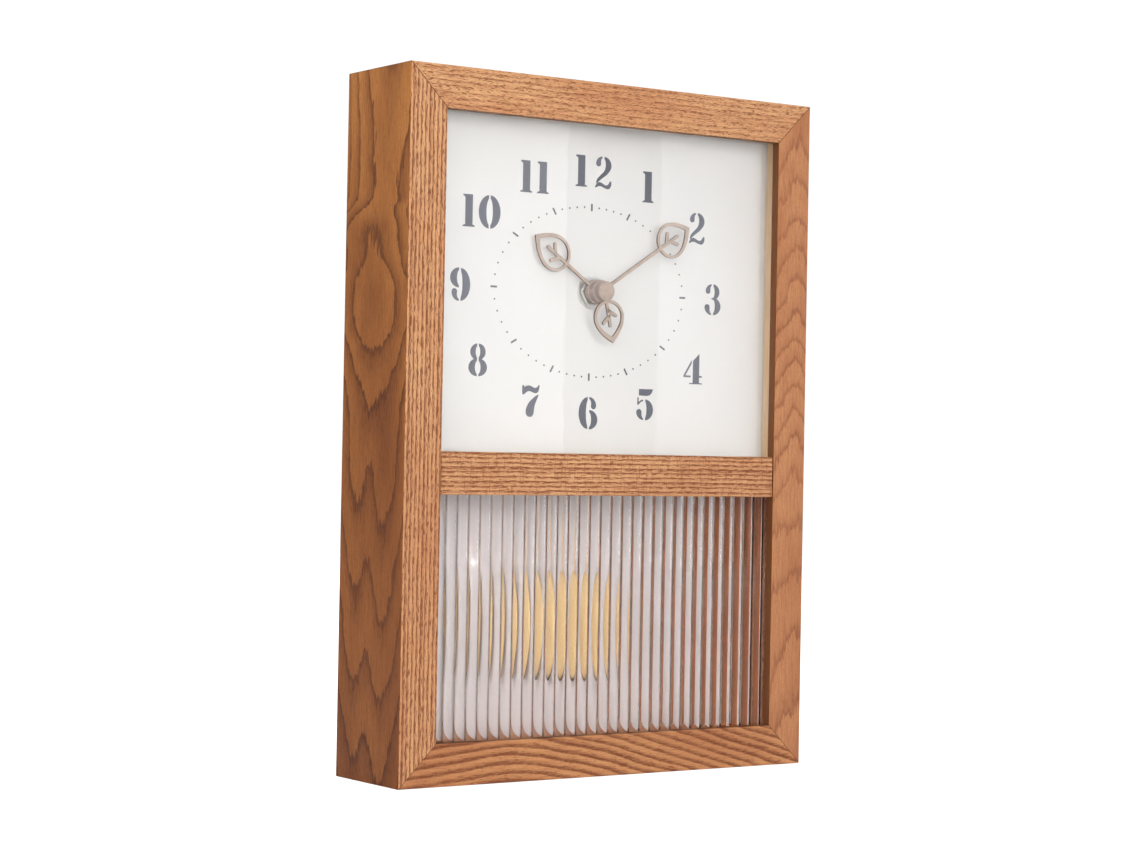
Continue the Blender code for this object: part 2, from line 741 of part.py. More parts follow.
def make_bushing():
    """A threaded tube that carries the movement, with a flange inside the front cover."""
    flange_front = COVER_FRONT + COVER_WALL + GAP
    flange_back = flange_front + 0.0007
    front = 0.0199
    profile = [
        (BUSHING_OUTER - 0.0004, front),
        (BUSHING_OUTER, front + 0.0004),
        (BUSHING_OUTER, flange_front),
        (0.0062, flange_front),
        (0.0062, flange_back),
        (BUSHING_INNER, flange_back),
        (BUSHING_INNER, front),
    ]
    turned("threaded_bushing", profile, 0.0, AXIS_Z, BRASS, ring=True, sides=24)


def make_dial_nut_and_washer():
    washer_back = DIAL_FRONT - GAP
    washer_front = washer_back - 0.0010
    inner = BUSHING_OUTER + GAP
    ring("dial_washer", inner, 0.0078, (washer_front, washer_back), 0.0, AXIS_Z, CHROME, 32)
    nut_back = washer_front - GAP
    nut_front = nut_back - 0.0020
    hexagon = round_outline(0.0070, 6)
    hole = round_outline(inner, 24)
    upright_plate("dial_nut", [hexagon, hole], (nut_front, nut_back), 0.0, AXIS_Z, CHROME)


def make_motor():
    """Stator plate around the rotor, and the coil whose core bridges its two arms."""
    left, right = 0.0085, 0.0255
    low, top = AXIS_Z + 0.0016, AXIS_Z + 0.0236
    arm = 0.0025
    shoulder = AXIS_Z + 0.0131
    outline = [
        (left, low),
        (right, low),
        (right, top),
        (right - arm, top),
        (right - arm, shoulder),
        (left + arm, shoulder),
        (left + arm, top),
        (left, top),
    ]
    stator = upright_plate("stator", [outline], (0.0400, 0.0408), 0.0, 0.0, STEEL)
    hole = (0.0395, 0.0413)
    cut(stator, drum("rotor_hole", 0.0036, hole, ROTOR_AT[0], AXIS_Z + ROTOR_AT[1], STEEL, 20))
    coil_depth = 0.0392
    coil_x = (left + arm + 0.0008, right - arm - 0.0008)
    coil = barrel("drive_coil", 0.0026, coil_x, coil_depth, COIL_Z, COPPER)
    core_depth = (coil_depth - 0.0005, coil_depth + 0.0005)
    core_z = (COIL_Z - 0.0015, COIL_Z + 0.0015)
    join(coil, box("coil_core", (left, right), core_depth, core_z, COPPER))


def make_circuit_board():
    front = 0.0375
    board_depth = (front, front + 0.0008)
    chip_depth = (front - 0.0010, front + 0.0002)
    board = box("circuit_board", (-0.0260, -0.0040), board_depth, (0.2400, 0.2530), GREEN_BOARD)
    join(board, box("timing_chip", (-0.0180, -0.0120), chip_depth, (0.2430, 0.2480), GREEN_BOARD))
    join(board, barrel("crystal", 0.0010, (-0.0100, -0.0050), front - 0.0005, 0.2500, GREEN_BOARD, 16))


def make_battery():
    half = BATTERY_HALF
    cell = barrel("battery", BATTERY_RADIUS, (-half, half), BATTERY_DEPTH, BATTERY_Z, BATTERY_SKIN)
    nub_x = (half - 0.001, half + 0.0012)
    join(cell, barrel("battery_nub", 0.0027, nub_x, BATTERY_DEPTH, BATTERY_Z, BATTERY_SKIN, 12))


def make_battery_contacts():
    """Spring sheets that stand in the battery room's ends; the negative one has a coned spring."""
    half = 0.0045
    depth = (BATTERY_DEPTH - half, BATTERY_DEPTH + half)
    z = (BATTERY_Z - half, BATTERY_Z + half)
    sheet = 0.0005
    positive = BATTERY_HALF + 0.0019
    box("battery_contact_positive", (positive, positive + sheet), depth, z, STEEL)
    face = -BATTERY_HALF - 0.0021
    negative = box("battery_contact_negative", (face - sheet, face), depth, z, STEEL)
    for turn in range(2):
        x = (face - 0.0004, face + 0.0007 * (turn + 1))
        radius = 0.0035 - 0.0012 * turn
        step = barrel("contact_step_%d" % turn, radius, x, BATTERY_DEPTH, BATTERY_Z, STEEL, 12)
        join(negative, step)


# ================================================================ hands
def leaf_outline(start, length, width, steps=10):
    """A leaf along +Y: round at its start, widest at two fifths, pointed at its end."""
    widest = 0.41
    side = []
    for step in range(steps + 1):
        along = step / steps
        if step <= steps // 2:
            turn = math.pi * (0.5 * step / (steps // 2))
            along = widest * (1 - math.cos(turn))
            half = width / 2 * math.sin(turn)
        else:
            rest = (step - steps // 2) / (steps - steps // 2)
            along = widest + (1 - widest) * rest
            half = width / 2 * (1 - rest**LEAF_FULLNESS)
        side.append((half, start + along * length))
    mirrored = [(-x, y) for x, y in reversed(side[1:-1])]
    return side + mirrored


def bar(name, width, start, end, finish):
    """A flat bar with round ends between two points of the hand's plane."""
    first, second = Vector(start), Vector(end)
    along = (second - first).normalized()
    across = Vector((-along.y, along.x)) * width / 2
    steps = 3
    outline = []
    for centre, turn in ((first, 90), (second, -90)):
        for step in range(steps + 1):
            angle = math.radians(turn + 180 * step / steps)
            spoke = along * math.cos(angle) + Vector((-along.y, along.x)) * math.sin(angle)
            outline.append(tuple(centre + spoke * across.length))
    return plate(name, [outline], HAND_THICK * 0.96, finish)


def hand(name, angle, depth, leaf, boss, bore):
    """A leaf hand: arm, leaf, veins and a turned boss. leaf is (start, end) along the hand; boss
    and bore are (radius, front, back)."""
    leaf_start, leaf_end = leaf
    length = leaf_end - leaf_start
    outer = leaf_outline(leaf_start, length, LEAF_WIDE)
    inner_length = length - 2.9 * LEAF_BAND
    inner = leaf_outline(leaf_start + LEAF_BAND, inner_length, LEAF_WIDE - 2 * LEAF_BAND)
    blade = plate(name, [outer, inner], HAND_THICK, HAND_METAL)
    blade.location = (0.0, y_of(depth), AXIS_Z)
    blade.rotation_euler = (math.radians(90), math.radians(angle), 0.0)
    vein_end = leaf_start + 0.60 * length
    low_branch = leaf_start + 0.24 * length
    high_branch = leaf_start + 0.38 * length
    reach = Vector((math.sin(math.radians(52)), math.cos(math.radians(52))))
    bars = (
        ("arm", (0.0, 0.0), (0.0, vein_end)),
        ("left_vein", (0.0, low_branch), (reach.x * -0.0052, low_branch + reach.y * 0.0052)),
        ("right_vein", (0.0, high_branch), (reach.x * 0.0044, high_branch + reach.y * 0.0044)),
    )
    for label, start, end in bars:
        strip = bar(name + "_" + label, HAND_ARM, start, end, HAND_METAL)
        strip.parent = blade
        join(blade, strip)
    radius, front, back = boss
    rounding = 0.0003
    profile = [
        (0.0, front),
        (radius - rounding, front),
        (radius, front + rounding),
        (radius, back),
        (0.0, back),
    ]
    join(blade, turned(name + "_boss", profile, 0.0, AXIS_Z, HAND_METAL, sides=24))
    cut(blade, drum(name + "_bore", bore[0], bore[1:], 0.0, AXIS_Z, HAND_METAL, 12))


def make_hands():
    hour_bore = (HOUR_TUBE_OUTER + GAP, 0.0170, 0.0200)
    hand("hour_hand", HOUR_ANGLE, 0.0182, (0.0210, 0.0436), (0.0059, 0.0174, 0.0197), hour_bore)
    minute_bore = (MINUTE_TUBE_OUTER + GAP, 0.0137, 0.0175)
    hand("minute_hand", MINUTE_ANGLE, 0.0146, (0.0400, 0.0612), (0.0054, 0.0139, 0.0171), minute_bore)
    second_bore = (ARBOR_RADIUS + GAP, 0.0115, 0.0140)
    hand("second_hand", SECOND_ANGLE, 0.0119, (0.0042, 0.0247), (0.0047, 0.0102, 0.0136), second_bore)


# ================================================================ pendulum
def make_pendulum_drive():
    """The coil that pushes the lever's magnet, and the pin the lever hangs from."""
    ring("pendulum_coil", 0.0020, 0.0070, (0.0400, 0.0427), 0.0, PENDULUM_COIL_Z, COPPER, 20)
    drum("pendulum_pivot_pin", 0.0008, (COVER_FRONT + 0.0009, 0.0436), 0.0, PIVOT_Z, STEEL, 12)
    magnet_depth = (LEVER_BACK + GAP, 0.0393)
    drum("pendulum_magnet", 0.0040, magnet_depth, 0.0, PENDULUM_COIL_Z, MAGNET, 20)


def make_pendulum_lever():
    """Hangs from the pivot pin; its peg carries the rod."""
    shoulder = 0.1700
    taper = 0.0050
    half_top = 0.0045
    half_low = 0.0025
    outline = [
        (-half_top, PIVOT_Z + 0.0040),
        (-half_top, shoulder),
        (-half_low, shoulder - taper),
        (-half_low, LEVER_LOW),
        (half_low, LEVER_LOW),
        (half_low, shoulder - taper),
        (half_top, shoulder),
        (half_top, PIVOT_Z + 0.0040),
    ]
    outline = [(x, z - PIVOT_Z) for x, z in outline]
    depth = (LEVER_FRONT, LEVER_BACK)
    lever = upright_plate("pendulum_lever", [outline], depth, 0.0, PIVOT_Z, WHITE_PLASTIC)
    collar = (LEVER_FRONT - 0.0020, LEVER_BACK + 0.0020)
    join(lever, drum("lever_collar", 0.0024, collar, 0.0, PIVOT_Z, WHITE_PLASTIC, 16))
    peg = (ROD_FRONT - 0.0008, LEVER_FRONT + 0.0004)
    join(lever, drum("lever_peg", PEG_RADIUS, peg, 0.0, HOOK_Z, WHITE_PLASTIC, 12))
    bore = (collar[0] - GAP, collar[1] + GAP)
    cut(lever, drum("lever_bore", PIN_SOCKET_RADIUS, bore, 0.0, PIVOT_Z, WHITE_PLASTIC, 12))


def make_pendulum_rod():
    """A flat strip with a round eye at its upper end."""
    outline = [(-ROD_HALF, ROD_LOW), (ROD_HALF, ROD_LOW)]
    steps = 10
    for step in range(steps + 1):
        angle = math.radians(-55 + 290 * step / steps)
        outline.append((EYE_RADIUS * math.cos(angle), HOOK_Z + EYE_RADIUS * math.sin(angle)))
    outline = [(x, z - PIVOT_Z) for x, z in outline]
    rod = upright_plate("pendulum_rod", [outline], (ROD_FRONT, ROD_BACK), 0.0, PIVOT_Z, BRASS)
    hole = (ROD_FRONT - GAP, ROD_BACK + GAP)
    cut(rod, drum("rod_eye", PEG_RADIUS + GAP, hole, 0.0, HOOK_Z, BRASS, 12))


def make_pendulum_bob():
    """A disc with a domed front and a chamfered back."""
    rim = BOB_FRONT + 0.0032
    steps = 4
    profile = []
    for step in range(steps + 1):
        turn = math.radians(90 * step / steps)
        profile.append((BOB_RADIUS * math.sin(turn), rim - (rim - BOB_FRONT) * math.cos(turn)))
    profile += [(BOB_RADIUS, rim + 0.0004), (BOB_RADIUS - 0.0007, BOB_BACK), (0.0, BOB_BACK)]
    turned("pendulum_bob", profile, 0.0, BOB_Z, BRASS, sides=48)


# ================================================================ the clock
make_case()
make_middle_rail()
make_dial_glass()
make_reeded_glass()
make_frame_strips(
    "dial_spacer", SPACER_THICK, (GLASS_BACK + GAP, SPACER_BACK), WEB_TOP + GAP, INNER_TOP, PALE_WOOD
)
make_frame_strips(
    "glass_bead", BEAD_WIDE, (REEDED_BACK + GAP, REEDED_BACK + GAP + BEAD_DEEP), INNER_LOW,
    WEB_LOW - GAP, ASH,
)
make_dial_panel()
make_blocks()
make_floor()
make_back_panel()
make_back_screws()
make_rotor()
make_intermediate_wheel()
make_second_wheel()
make_third_wheel()
make_centre_wheel()
make_minute_wheel()
make_hour_wheel()
make_setting_knob()
make_front_cover()
make_back_cover()
make_bushing()
make_dial_nut_and_washer()
make_motor()
make_circuit_board()
make_battery()
make_battery_contacts()
make_hands()
make_pendulum_drive()
make_pendulum_lever()
make_pendulum_rod()
make_pendulum_bob()
bpy.context.view_layer.update()
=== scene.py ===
"""Looks of the mantel clock: materials, dial print, glass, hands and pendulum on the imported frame."""

import json
import math

import bmesh
import bpy
from mathutils import Euler, Matrix, Vector

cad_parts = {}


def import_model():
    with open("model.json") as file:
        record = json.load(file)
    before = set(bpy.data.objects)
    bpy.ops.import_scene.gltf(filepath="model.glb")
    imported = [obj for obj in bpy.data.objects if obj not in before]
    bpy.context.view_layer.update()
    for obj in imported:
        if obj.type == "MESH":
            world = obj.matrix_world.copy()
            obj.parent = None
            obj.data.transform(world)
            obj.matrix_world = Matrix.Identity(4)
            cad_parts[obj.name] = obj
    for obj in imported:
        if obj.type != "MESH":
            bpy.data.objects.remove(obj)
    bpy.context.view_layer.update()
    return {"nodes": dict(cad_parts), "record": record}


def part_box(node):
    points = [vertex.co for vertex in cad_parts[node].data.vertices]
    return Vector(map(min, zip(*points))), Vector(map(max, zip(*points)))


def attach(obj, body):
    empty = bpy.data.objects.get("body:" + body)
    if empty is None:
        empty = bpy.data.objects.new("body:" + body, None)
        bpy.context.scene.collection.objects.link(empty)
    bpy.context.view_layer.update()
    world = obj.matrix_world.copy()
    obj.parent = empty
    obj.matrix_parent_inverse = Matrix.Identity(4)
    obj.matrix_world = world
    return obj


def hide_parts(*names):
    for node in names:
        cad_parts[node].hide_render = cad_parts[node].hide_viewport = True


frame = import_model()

scene = bpy.context.scene
nodes = frame["nodes"]

# ================================================================ sizes read from the frame
case_low, case_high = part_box("left_side_board")
FRONT_Y = case_low.y
CASE_TOP = case_high.z
LEFT_X = case_low.x
HALF_WIDTH = -LEFT_X
RAIL_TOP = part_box("middle_rail")[1].z
AXIS_Z = 0.2274              # height of the hands' axis


def depth(value):
    """The y of a depth behind the clock's front, both in metres."""
    return FRONT_Y + value


# ================================================================ node materials
class Graph:
    """Builds one procedural material around its Principled shader."""

    def __init__(self, name, **constants):
        self.material = bpy.data.materials.new(name)
        self.material.use_nodes = True
        self.tree = self.material.node_tree
        self.shader = self.tree.nodes["Principled BSDF"]
        for key, value in constants.items():
            self.shader.inputs[key.replace("_", " ")].default_value = value
        coordinates = self.tree.nodes.new("ShaderNodeTexCoord")
        self.place = self.vector("MULTIPLY", coordinates.outputs["Object"], (1000, 1000, 1000))

    def add(self, kind, **settings):
        """A new shader node with its settings."""
        node = self.tree.nodes.new("ShaderNode" + kind)
        for key, value in settings.items():
            setattr(node, key, value)
        return node

    def feed(self, target, value):
        """Links a socket to the target, or sets the target's own value."""
        if isinstance(value, bpy.types.NodeSocket):
            self.tree.links.new(value, target)
        else:
            target.default_value = value

    def vector(self, operation, first, second):
        node = self.add("VectorMath", operation=operation)
        self.feed(node.inputs[0], first)
        self.feed(node.inputs[1], second)
        return node.outputs[0]

    def math(self, operation, first, second=0.0):
        node = self.add("Math", operation=operation)
        self.feed(node.inputs[0], first)
        self.feed(node.inputs[1], second)
        return node.outputs[0]

    def separate(self, value):
        node = self.add("SeparateXYZ")
        self.feed(node.inputs[0], value)
        return node.outputs

    def axes(self):
        """The place in millimetres, as separate x, y and z."""
        return self.separate(self.place)

    def normal(self):
        """Which way the surface looks, as separate x, y and z."""
        return self.separate(self.add("TexCoord").outputs["Normal"])

    def noise(self, stretch, detail=2.0, roughness=0.5, shift=0.0):
        """Noise from 0 to 1; stretch is the number of cells in a millimetre along x, y and z."""
        scaled = self.vector("MULTIPLY", self.place, stretch)
        moved = self.vector("ADD", scaled, (shift, shift * 0.7, shift * 1.3))
        node = self.add("TexNoise")
        self.feed(node.inputs["Vector"], moved)
        self.feed(node.inputs["Scale"], 1.0)
        self.feed(node.inputs["Detail"], detail)
        self.feed(node.inputs["Roughness"], roughness)
        return node.outputs[0]

    def random(self, value):
        node = self.add("TexWhiteNoise", noise_dimensions="1D")
        self.feed(node.inputs["W"], value)
        return node.outputs["Value"]

    def span(self, value, low, high, to_low=0.0, to_high=1.0, smooth=True):
        """Maps low..high to to_low..to_high, and holds both ends."""
        node = self.add("MapRange", interpolation_type="SMOOTHSTEP" if smooth else "LINEAR")
        for socket, given in zip(node.inputs, (value, low, high, to_low, to_high)):
            self.feed(socket, given)
        return node.outputs[0]

    def curve(self, value, points):
        """A smooth curve through (place, height) points between 0 and 1."""
        node = self.add("FloatCurve")
        curve = node.mapping.curves[0]
        curve.points[0].location = points[0]
        curve.points[1].location = points[-1]
        for point in points[1:-1]:
            curve.points.new(*point)
        node.mapping.update()
        self.feed(node.inputs["Value"], value)
        return node.outputs[0]

    def mix(self, factor, first, second, mode="MIX"):
        """The first colour where factor is 0 and the second where it is 1."""
        node = self.add("Mix", data_type="RGBA", blend_type=mode)
        self.feed(node.inputs[0], factor)
        self.feed(node.inputs[6], first)
        self.feed(node.inputs[7], second)
        return node.outputs[2]

    def bump(self, height, reach, strength):
        """reach is the height, in metres, that 1 stands for."""
        node = self.add("Bump")
        self.feed(node.inputs["Strength"], strength)
        self.feed(node.inputs["Distance"], reach)
        self.feed(node.inputs["Height"], height)
        return node.outputs[0]

    def set(self, **values):
        """Feeds the shader's inputs and gives the finished material."""
        for key, value in values.items():
            self.feed(self.shader.inputs[key.replace("_", " ")], value)
        return self.material


def rgb(red, green, blue):
    """A linear colour from its 0 to 255 display values."""
    linear = []
    for value in (red, green, blue):
        share = value / 255
        linear.append(share / 12.92 if share <= 0.04045 else ((share + 0.055) / 1.055) ** 2.4)
    return (*linear, 1.0)


# ================================================================ wood
LIGHT = rgb(232, 178, 128)
DEEP = rgb(214, 154, 108)
BAND = rgb(164, 98, 64)
LINE = rgb(124, 72, 46)
PORE = rgb(124, 68, 42)
DARK_BAND = rgb(122, 70, 34)
DARK_LINE = rgb(84, 45, 22)
# painted shade on the case's inner faces, deeper on the lip than on the wall behind it
LIP_PAINTED_SHADE = (0.39, 0.32, 0.22, 1.0)
WALL_PAINTED_SHADE = (0.85, 0.68, 0.50, 1.0)
# painted shade at the foot of the left side and painted light at its head
FOOT_PAINTED_SHADE = (0.80, 0.70, 0.62, 1.0)
HEAD_PAINTED_LIGHT = (1.30, 1.38, 1.38, 1.0)

# Looks of a sawn face. spacing of the rings is in millimetres; onset, reach and rim are the shares of
# a ring over which its dark rim starts, its soft band fades and its rim fades; broken is how far the
# bands fall into dashes; open is the level above which the grain opens into pores.
STRAIGHT = dict(
    spacing=2.1, onset=0.84, reach=0.85, rim=0.40, band=1.0, line=0.50, broken=0.70, pores=0.80,
    open=0.65, share=0.24, light=LIGHT, deep=DEEP, dark=BAND, darkest=LINE,
)
# The side figure is partly the board's own figure and partly painted shade: its colours are darker than the
# front's, as the side face is shaded.
SIDE_FIGURE = dict(
    spacing=2.1, onset=0.95, reach=0.72, rim=0.17, band=0.95, line=0.85, broken=0.15, pores=0.40,
    open=0.68, share=0.14, light=rgb(180, 116, 60), deep=rgb(158, 97, 48), dark=DARK_BAND, darkest=DARK_LINE,
)
CROSS_FIGURE = dict(
    spacing=1.4, onset=0.88, reach=0.60, rim=0.20, band=0.58, line=0.60, broken=0.30, pores=0.25,
    open=0.72, share=0.10, light=rgb(202, 142, 97), deep=rgb(183, 121, 80), dark=rgb(156, 92, 62),
    darkest=rgb(124, 70, 50),
)
BOLD_LINES = dict(
    spacing=3.9, onset=0.82, reach=0.74, rim=0.50, band=0.95, line=0.90, broken=0.25, pores=0.65,
    open=0.67, share=0.22, light=rgb(218, 158, 106), deep=rgb(196, 134, 88), dark=BAND,
    darkest=rgb(116, 66, 42),
)
DASHES = dict(
    spacing=2.6, onset=0.80, reach=0.60, rim=0.20, band=0.70, line=0.20, broken=0.85, pores=0.75,
    open=0.60, share=0.08, light=LIGHT, deep=DEEP, dark=BAND, darkest=LINE,
)


# the case in millimetres, as the grain is laid out
HALF_MM = HALF_WIDTH * 1000
TOP_MM = CASE_TOP * 1000
FRONT_MM = FRONT_Y * 1000
LIP_MM = 5.2                 # the inside carries painted shade, darker on the lip than on the wall behind it
FACING = 0.7                 # a face that leans less than 45 degrees from an axis looks along it
EULER = 2.718


def ash(name, grain, face, across, outer, edge, climb, pith=120.0, ridge=None, tilt=None, warp=1.2,
        jag=0.35, pore_size=(3.2, 0.40), inside=None, rays=0.0, painted_falloff=None, shift=0.0):
    """Ring-porous wood, in millimetres. grain is the axis along the board. face is (axis, sign, place)
    of its outer face, which has the outer look; faces square to it have the edge look. across is
    (axis, middle). climb is (low, high, height, curve): how far the rings rise along the board.
    ridge is (place, width, height, curve), a fold that runs along the board; tilt is (range, least,
    curve), how far they lean across it. inside is (axis, sign) of the inner faces of the case, which
    carry painted shade; rays is how strongly the fine lines across the grain show. painted_falloff is
    the painted shade at the outer face's low end and the painted light at its high end."""
    graph = Graph(name, Specular_IOR_Level=0.22)
    axis = dict(zip("xyz", graph.axes()))
    order = "xyz".index(grain)
    looks = dict(zip("xyz", graph.normal()))
    facing = graph.math("ABSOLUTE", looks[face[0]])
    facing = graph.math("GREATER_THAN", facing, FACING)

    def along(long, wide):
        stretch = [1 / wide] * 3
        stretch[order] = 1 / long
        return tuple(stretch)

    def pick(key):
        if outer[key] == edge[key]:
            return outer[key]
        if isinstance(outer[key], tuple):
            return graph.mix(facing, edge[key], outer[key])
        return graph.span(facing, 0.0, 1.0, edge[key], outer[key], smooth=False)

    low, high, height, points = climb
    share = graph.span(axis[grain], low, high, smooth=False)
    radius = graph.math("MULTIPLY", graph.math("SUBTRACT", face[2], axis[face[0]]), face[1])
    climb_there = graph.math("MULTIPLY", graph.curve(share, points), height)
    if outer is not edge:
        climb_there = graph.math("MULTIPLY", climb_there, facing)
    radius = graph.math("ADD", radius, climb_there)
    radius = graph.math("ADD", radius, pith)
    side = graph.math("SUBTRACT", axis[across[0]], across[1])
    squares = graph.math("ADD", graph.math("POWER", radius, 2.0), graph.math("MULTIPLY", side, side))
    radius = graph.math("SQRT", squares)
    if ridge:
        place, width, height, points = ridge
        off = graph.math("DIVIDE", graph.math("SUBTRACT", axis[across[0]], place), width)
        fold = graph.math("POWER", EULER, graph.math("MULTIPLY", graph.math("MULTIPLY", off, off), -1.0))
        fold = graph.math("MULTIPLY", fold, graph.math("MULTIPLY", graph.curve(share, points), height))
        radius = graph.math("ADD", radius, fold)
    if tilt:
        lean = graph.math("ADD", graph.math("MULTIPLY", graph.curve(share, tilt[2]), tilt[0]), tilt[1])
        if outer is not edge:
            lean = graph.math("MULTIPLY", lean, facing)
        radius = graph.math("ADD", radius, graph.math("MULTIPLY", side, lean))
    wide = graph.math("SUBTRACT", graph.noise(along(30, 13), 1.5, shift=shift), 0.5)
    radius = graph.math("ADD", radius, graph.math("MULTIPLY", wide, warp))
    teeth = graph.math("SUBTRACT", graph.noise(along(12, 2.6), 3.0, 0.62, shift=shift + 3), 0.5)
    radius = graph.math("ADD", radius, graph.math("MULTIPLY", teeth, jag))

    rings = graph.math("DIVIDE", radius, pick("spacing"))
    phase = graph.math("FRACT", rings)
    chance = graph.random(graph.math("FLOOR", rings))
    reach = graph.math("MULTIPLY", graph.span(chance, 0, 1, 0.75, 1.25, smooth=False), pick("reach"))
    onset = graph.span(phase, pick("onset"), 1.0)
    early = graph.math("MAXIMUM", graph.math("SUBTRACT", 1.0, graph.span(phase, 0.0, reach)), onset)
    rim = graph.math("MAXIMUM", graph.math("SUBTRACT", 1.0, graph.span(phase, 0.02, pick("rim"))), onset)
    strength = graph.span(chance, 0, 1, 0.60, 1.0, smooth=False)

    open_grain = graph.noise(along(*pore_size), 1.0, shift=shift + 7)
    level = graph.math("SUBTRACT", pick("open"), graph.math("MULTIPLY", early, pick("share")))
    pore = graph.span(graph.math("SUBTRACT", open_grain, level), 0.0, 0.08)
    fibre = graph.noise(along(9, 0.42), 3.0, 0.65, shift=shift + 11)
    cloud = graph.noise(along(80, 20), 2.0, shift=shift + 17)
    stipple = graph.noise(along(0.9, 0.45), 2.0, 0.6, shift=shift + 23)
    gaps = graph.span(graph.noise(along(7, 1.0), 1.5, shift=shift + 37), 0.38, 0.60)
    whole = graph.math("SUBTRACT", 1.0, graph.math("MULTIPLY", gaps, pick("broken")))

    colour = graph.mix(graph.span(cloud, 0.30, 0.72), pick("light"), pick("deep"))
    colour = graph.mix(graph.span(fibre, 0.40, 0.70, 0.0, 0.50), colour, pick("dark"))
    band = graph.math("MULTIPLY", early, graph.span(stipple, 0.30, 0.60, 0.35, 1.0))
    strength = graph.math("MULTIPLY", strength, whole)
    band = graph.math("MULTIPLY", graph.math("MULTIPLY", band, strength), pick("band"))
    colour = graph.mix(band, colour, pick("dark"))
    rim_share = graph.math("MULTIPLY", rim, graph.span(stipple, 0.25, 0.55, 0.5, 1.0))
    rim_share = graph.math("MULTIPLY", graph.math("MULTIPLY", rim_share, strength), pick("line"))
    colour = graph.mix(rim_share, colour, pick("darkest"))
    colour = graph.mix(graph.math("MULTIPLY", pore, pick("pores")), colour, PORE)

    colour = graph.mix(graph.span(stipple, 0.32, 0.60, 0.32, 0.0), colour, pick("dark"))
    if rays:
        ray = graph.noise(along(0.7, 9.0), 1.0, shift=shift + 29)
        colour = graph.mix(graph.span(ray, 0.54, 0.70, 0.0, rays), colour, pick("dark"))
    # painted falloff: the outer face is darkened at its low end and brightened at its high end
    if painted_falloff:
        tint = graph.mix(graph.math("POWER", share, 3.0), *painted_falloff)
        colour = graph.mix(facing, colour, tint, "MULTIPLY")
    # painted shade: the inner faces of the case are multiplied darker, more on the lip than on the wall
    if inside:
        inner = graph.math("MULTIPLY", looks[inside[0]], inside[1])
        behind = graph.math("GREATER_THAN", axis["y"], FRONT_MM + LIP_MM)
        inside_shade = graph.mix(behind, LIP_PAINTED_SHADE, WALL_PAINTED_SHADE)
        colour = graph.mix(graph.math("GREATER_THAN", inner, FACING), colour, inside_shade, "MULTIPLY")

    relief = graph.math("SUBTRACT", graph.math("MULTIPLY", fibre, 0.35), pore)
    relief = graph.math("SUBTRACT", relief, graph.math("MULTIPLY", rim, 0.35))
    rough = graph.math("ADD", graph.span(fibre, 0.3, 0.7, 0.40, 0.52), graph.math("MULTIPLY", pore, 0.2))
    return graph.set(Base_Color=colour, Roughness=rough, Normal=graph.bump(relief, 0.00014, 0.8))


LEVEL = [(0.0, 0.5), (1.0, 0.5)]
LEFT_WOOD = ash(
    "ash_left_side", "z", ("x", -1.0, -HALF_MM), ("y", 0.0), SIDE_FIGURE, STRAIGHT,
    (0.0, TOP_MM, 14.0, [
        (0.0, 0.89), (0.068, 0.813), (0.17, 0.663), (0.30, 0.513), (0.43, 0.363), (0.525, 0.32),
        (0.605, 0.177), (0.673, 0.07), (0.741, 0.17), (0.775, 0.185), (0.79, 0.228), (0.81, 0.282),
        (0.83, 0.318), (0.88, 0.311), (1.0, 0.23),
    ]),
    pith=117.22, ridge=(2.0, 8.0, 1.6, [(0.0, 1.0), (0.43, 1.0), (0.52, 0.05), (0.6, 0.0), (1.0, 0.0)]),
    tilt=(0.2, -0.08, [
        (0.0, 0.4), (0.6, 0.4), (0.741, 0.3), (0.775, 0.225), (0.81, 0.63), (0.83, 0.75), (1.0, 0.9),
    ]),
    warp=0.7, jag=0.95, inside=("x", 1.0), painted_falloff=(FOOT_PAINTED_SHADE, HEAD_PAINTED_LIGHT), shift=4.1,
)
RIGHT_WOOD = ash(
    "ash_right_side", "z", ("y", -1.0, FRONT_MM), ("x", HALF_MM - 7.0), CROSS_FIGURE, CROSS_FIGURE,
    (0.0, TOP_MM, 24.1, [
        (0.0, 0.0), (0.07, 0.041), (0.169, 0.099), (0.271, 0.157), (0.363, 0.215), (0.454, 0.331),
        (0.543, 0.448), (0.614, 0.564), (0.692, 0.680), (0.791, 0.797), (0.899, 0.913), (1.0, 1.0),
    ]),
    pith=150.0, ridge=(HALF_MM - 7.0, 8.0, -1.0, [(0.0, 0.0), (0.35, 0.05), (0.5, 0.9), (1.0, 1.0)]),
    tilt=(0.03, -0.03, [(0.0, 0.0), (0.17, 0.0), (0.3, 1.0), (1.0, 1.0)]),
    warp=1.5, jag=1.2, inside=("x", -1.0), shift=9.4,
)
TOP_WOOD = ash(
    "ash_top", "x", ("z", 1.0, TOP_MM), ("y", 0.0), DASHES, DASHES, (-HALF_MM, HALF_MM, 1.0, LEVEL),
    warp=2.6, jag=1.3, pore_size=(2.3, 0.38), inside=("z", -1.0), shift=15.0,
)
BOTTOM_WOOD = ash(
    "ash_bottom", "x", ("z", -1.0, 0.0), ("y", 6.0), BOLD_LINES, BOLD_LINES,
    (-HALF_MM, HALF_MM, 44.0, [
        (0.0, 0.11), (0.15, 0.04), (0.27, 0.0), (0.40, 0.10), (0.60, 0.37), (0.80, 0.68), (1.0, 1.0),
    ]),
    warp=2.4, jag=1.0, inside=("z", 1.0), shift=21.0,
)
RAIL_WOOD = ash(
    "ash_rail", "x", ("z", 1.0, RAIL_TOP * 1000), ("y", 0.0), STRAIGHT, STRAIGHT,
    (-HALF_MM, HALF_MM, 1.0, LEVEL), warp=1.6, jag=0.9, rays=0.7, shift=27.0,
)
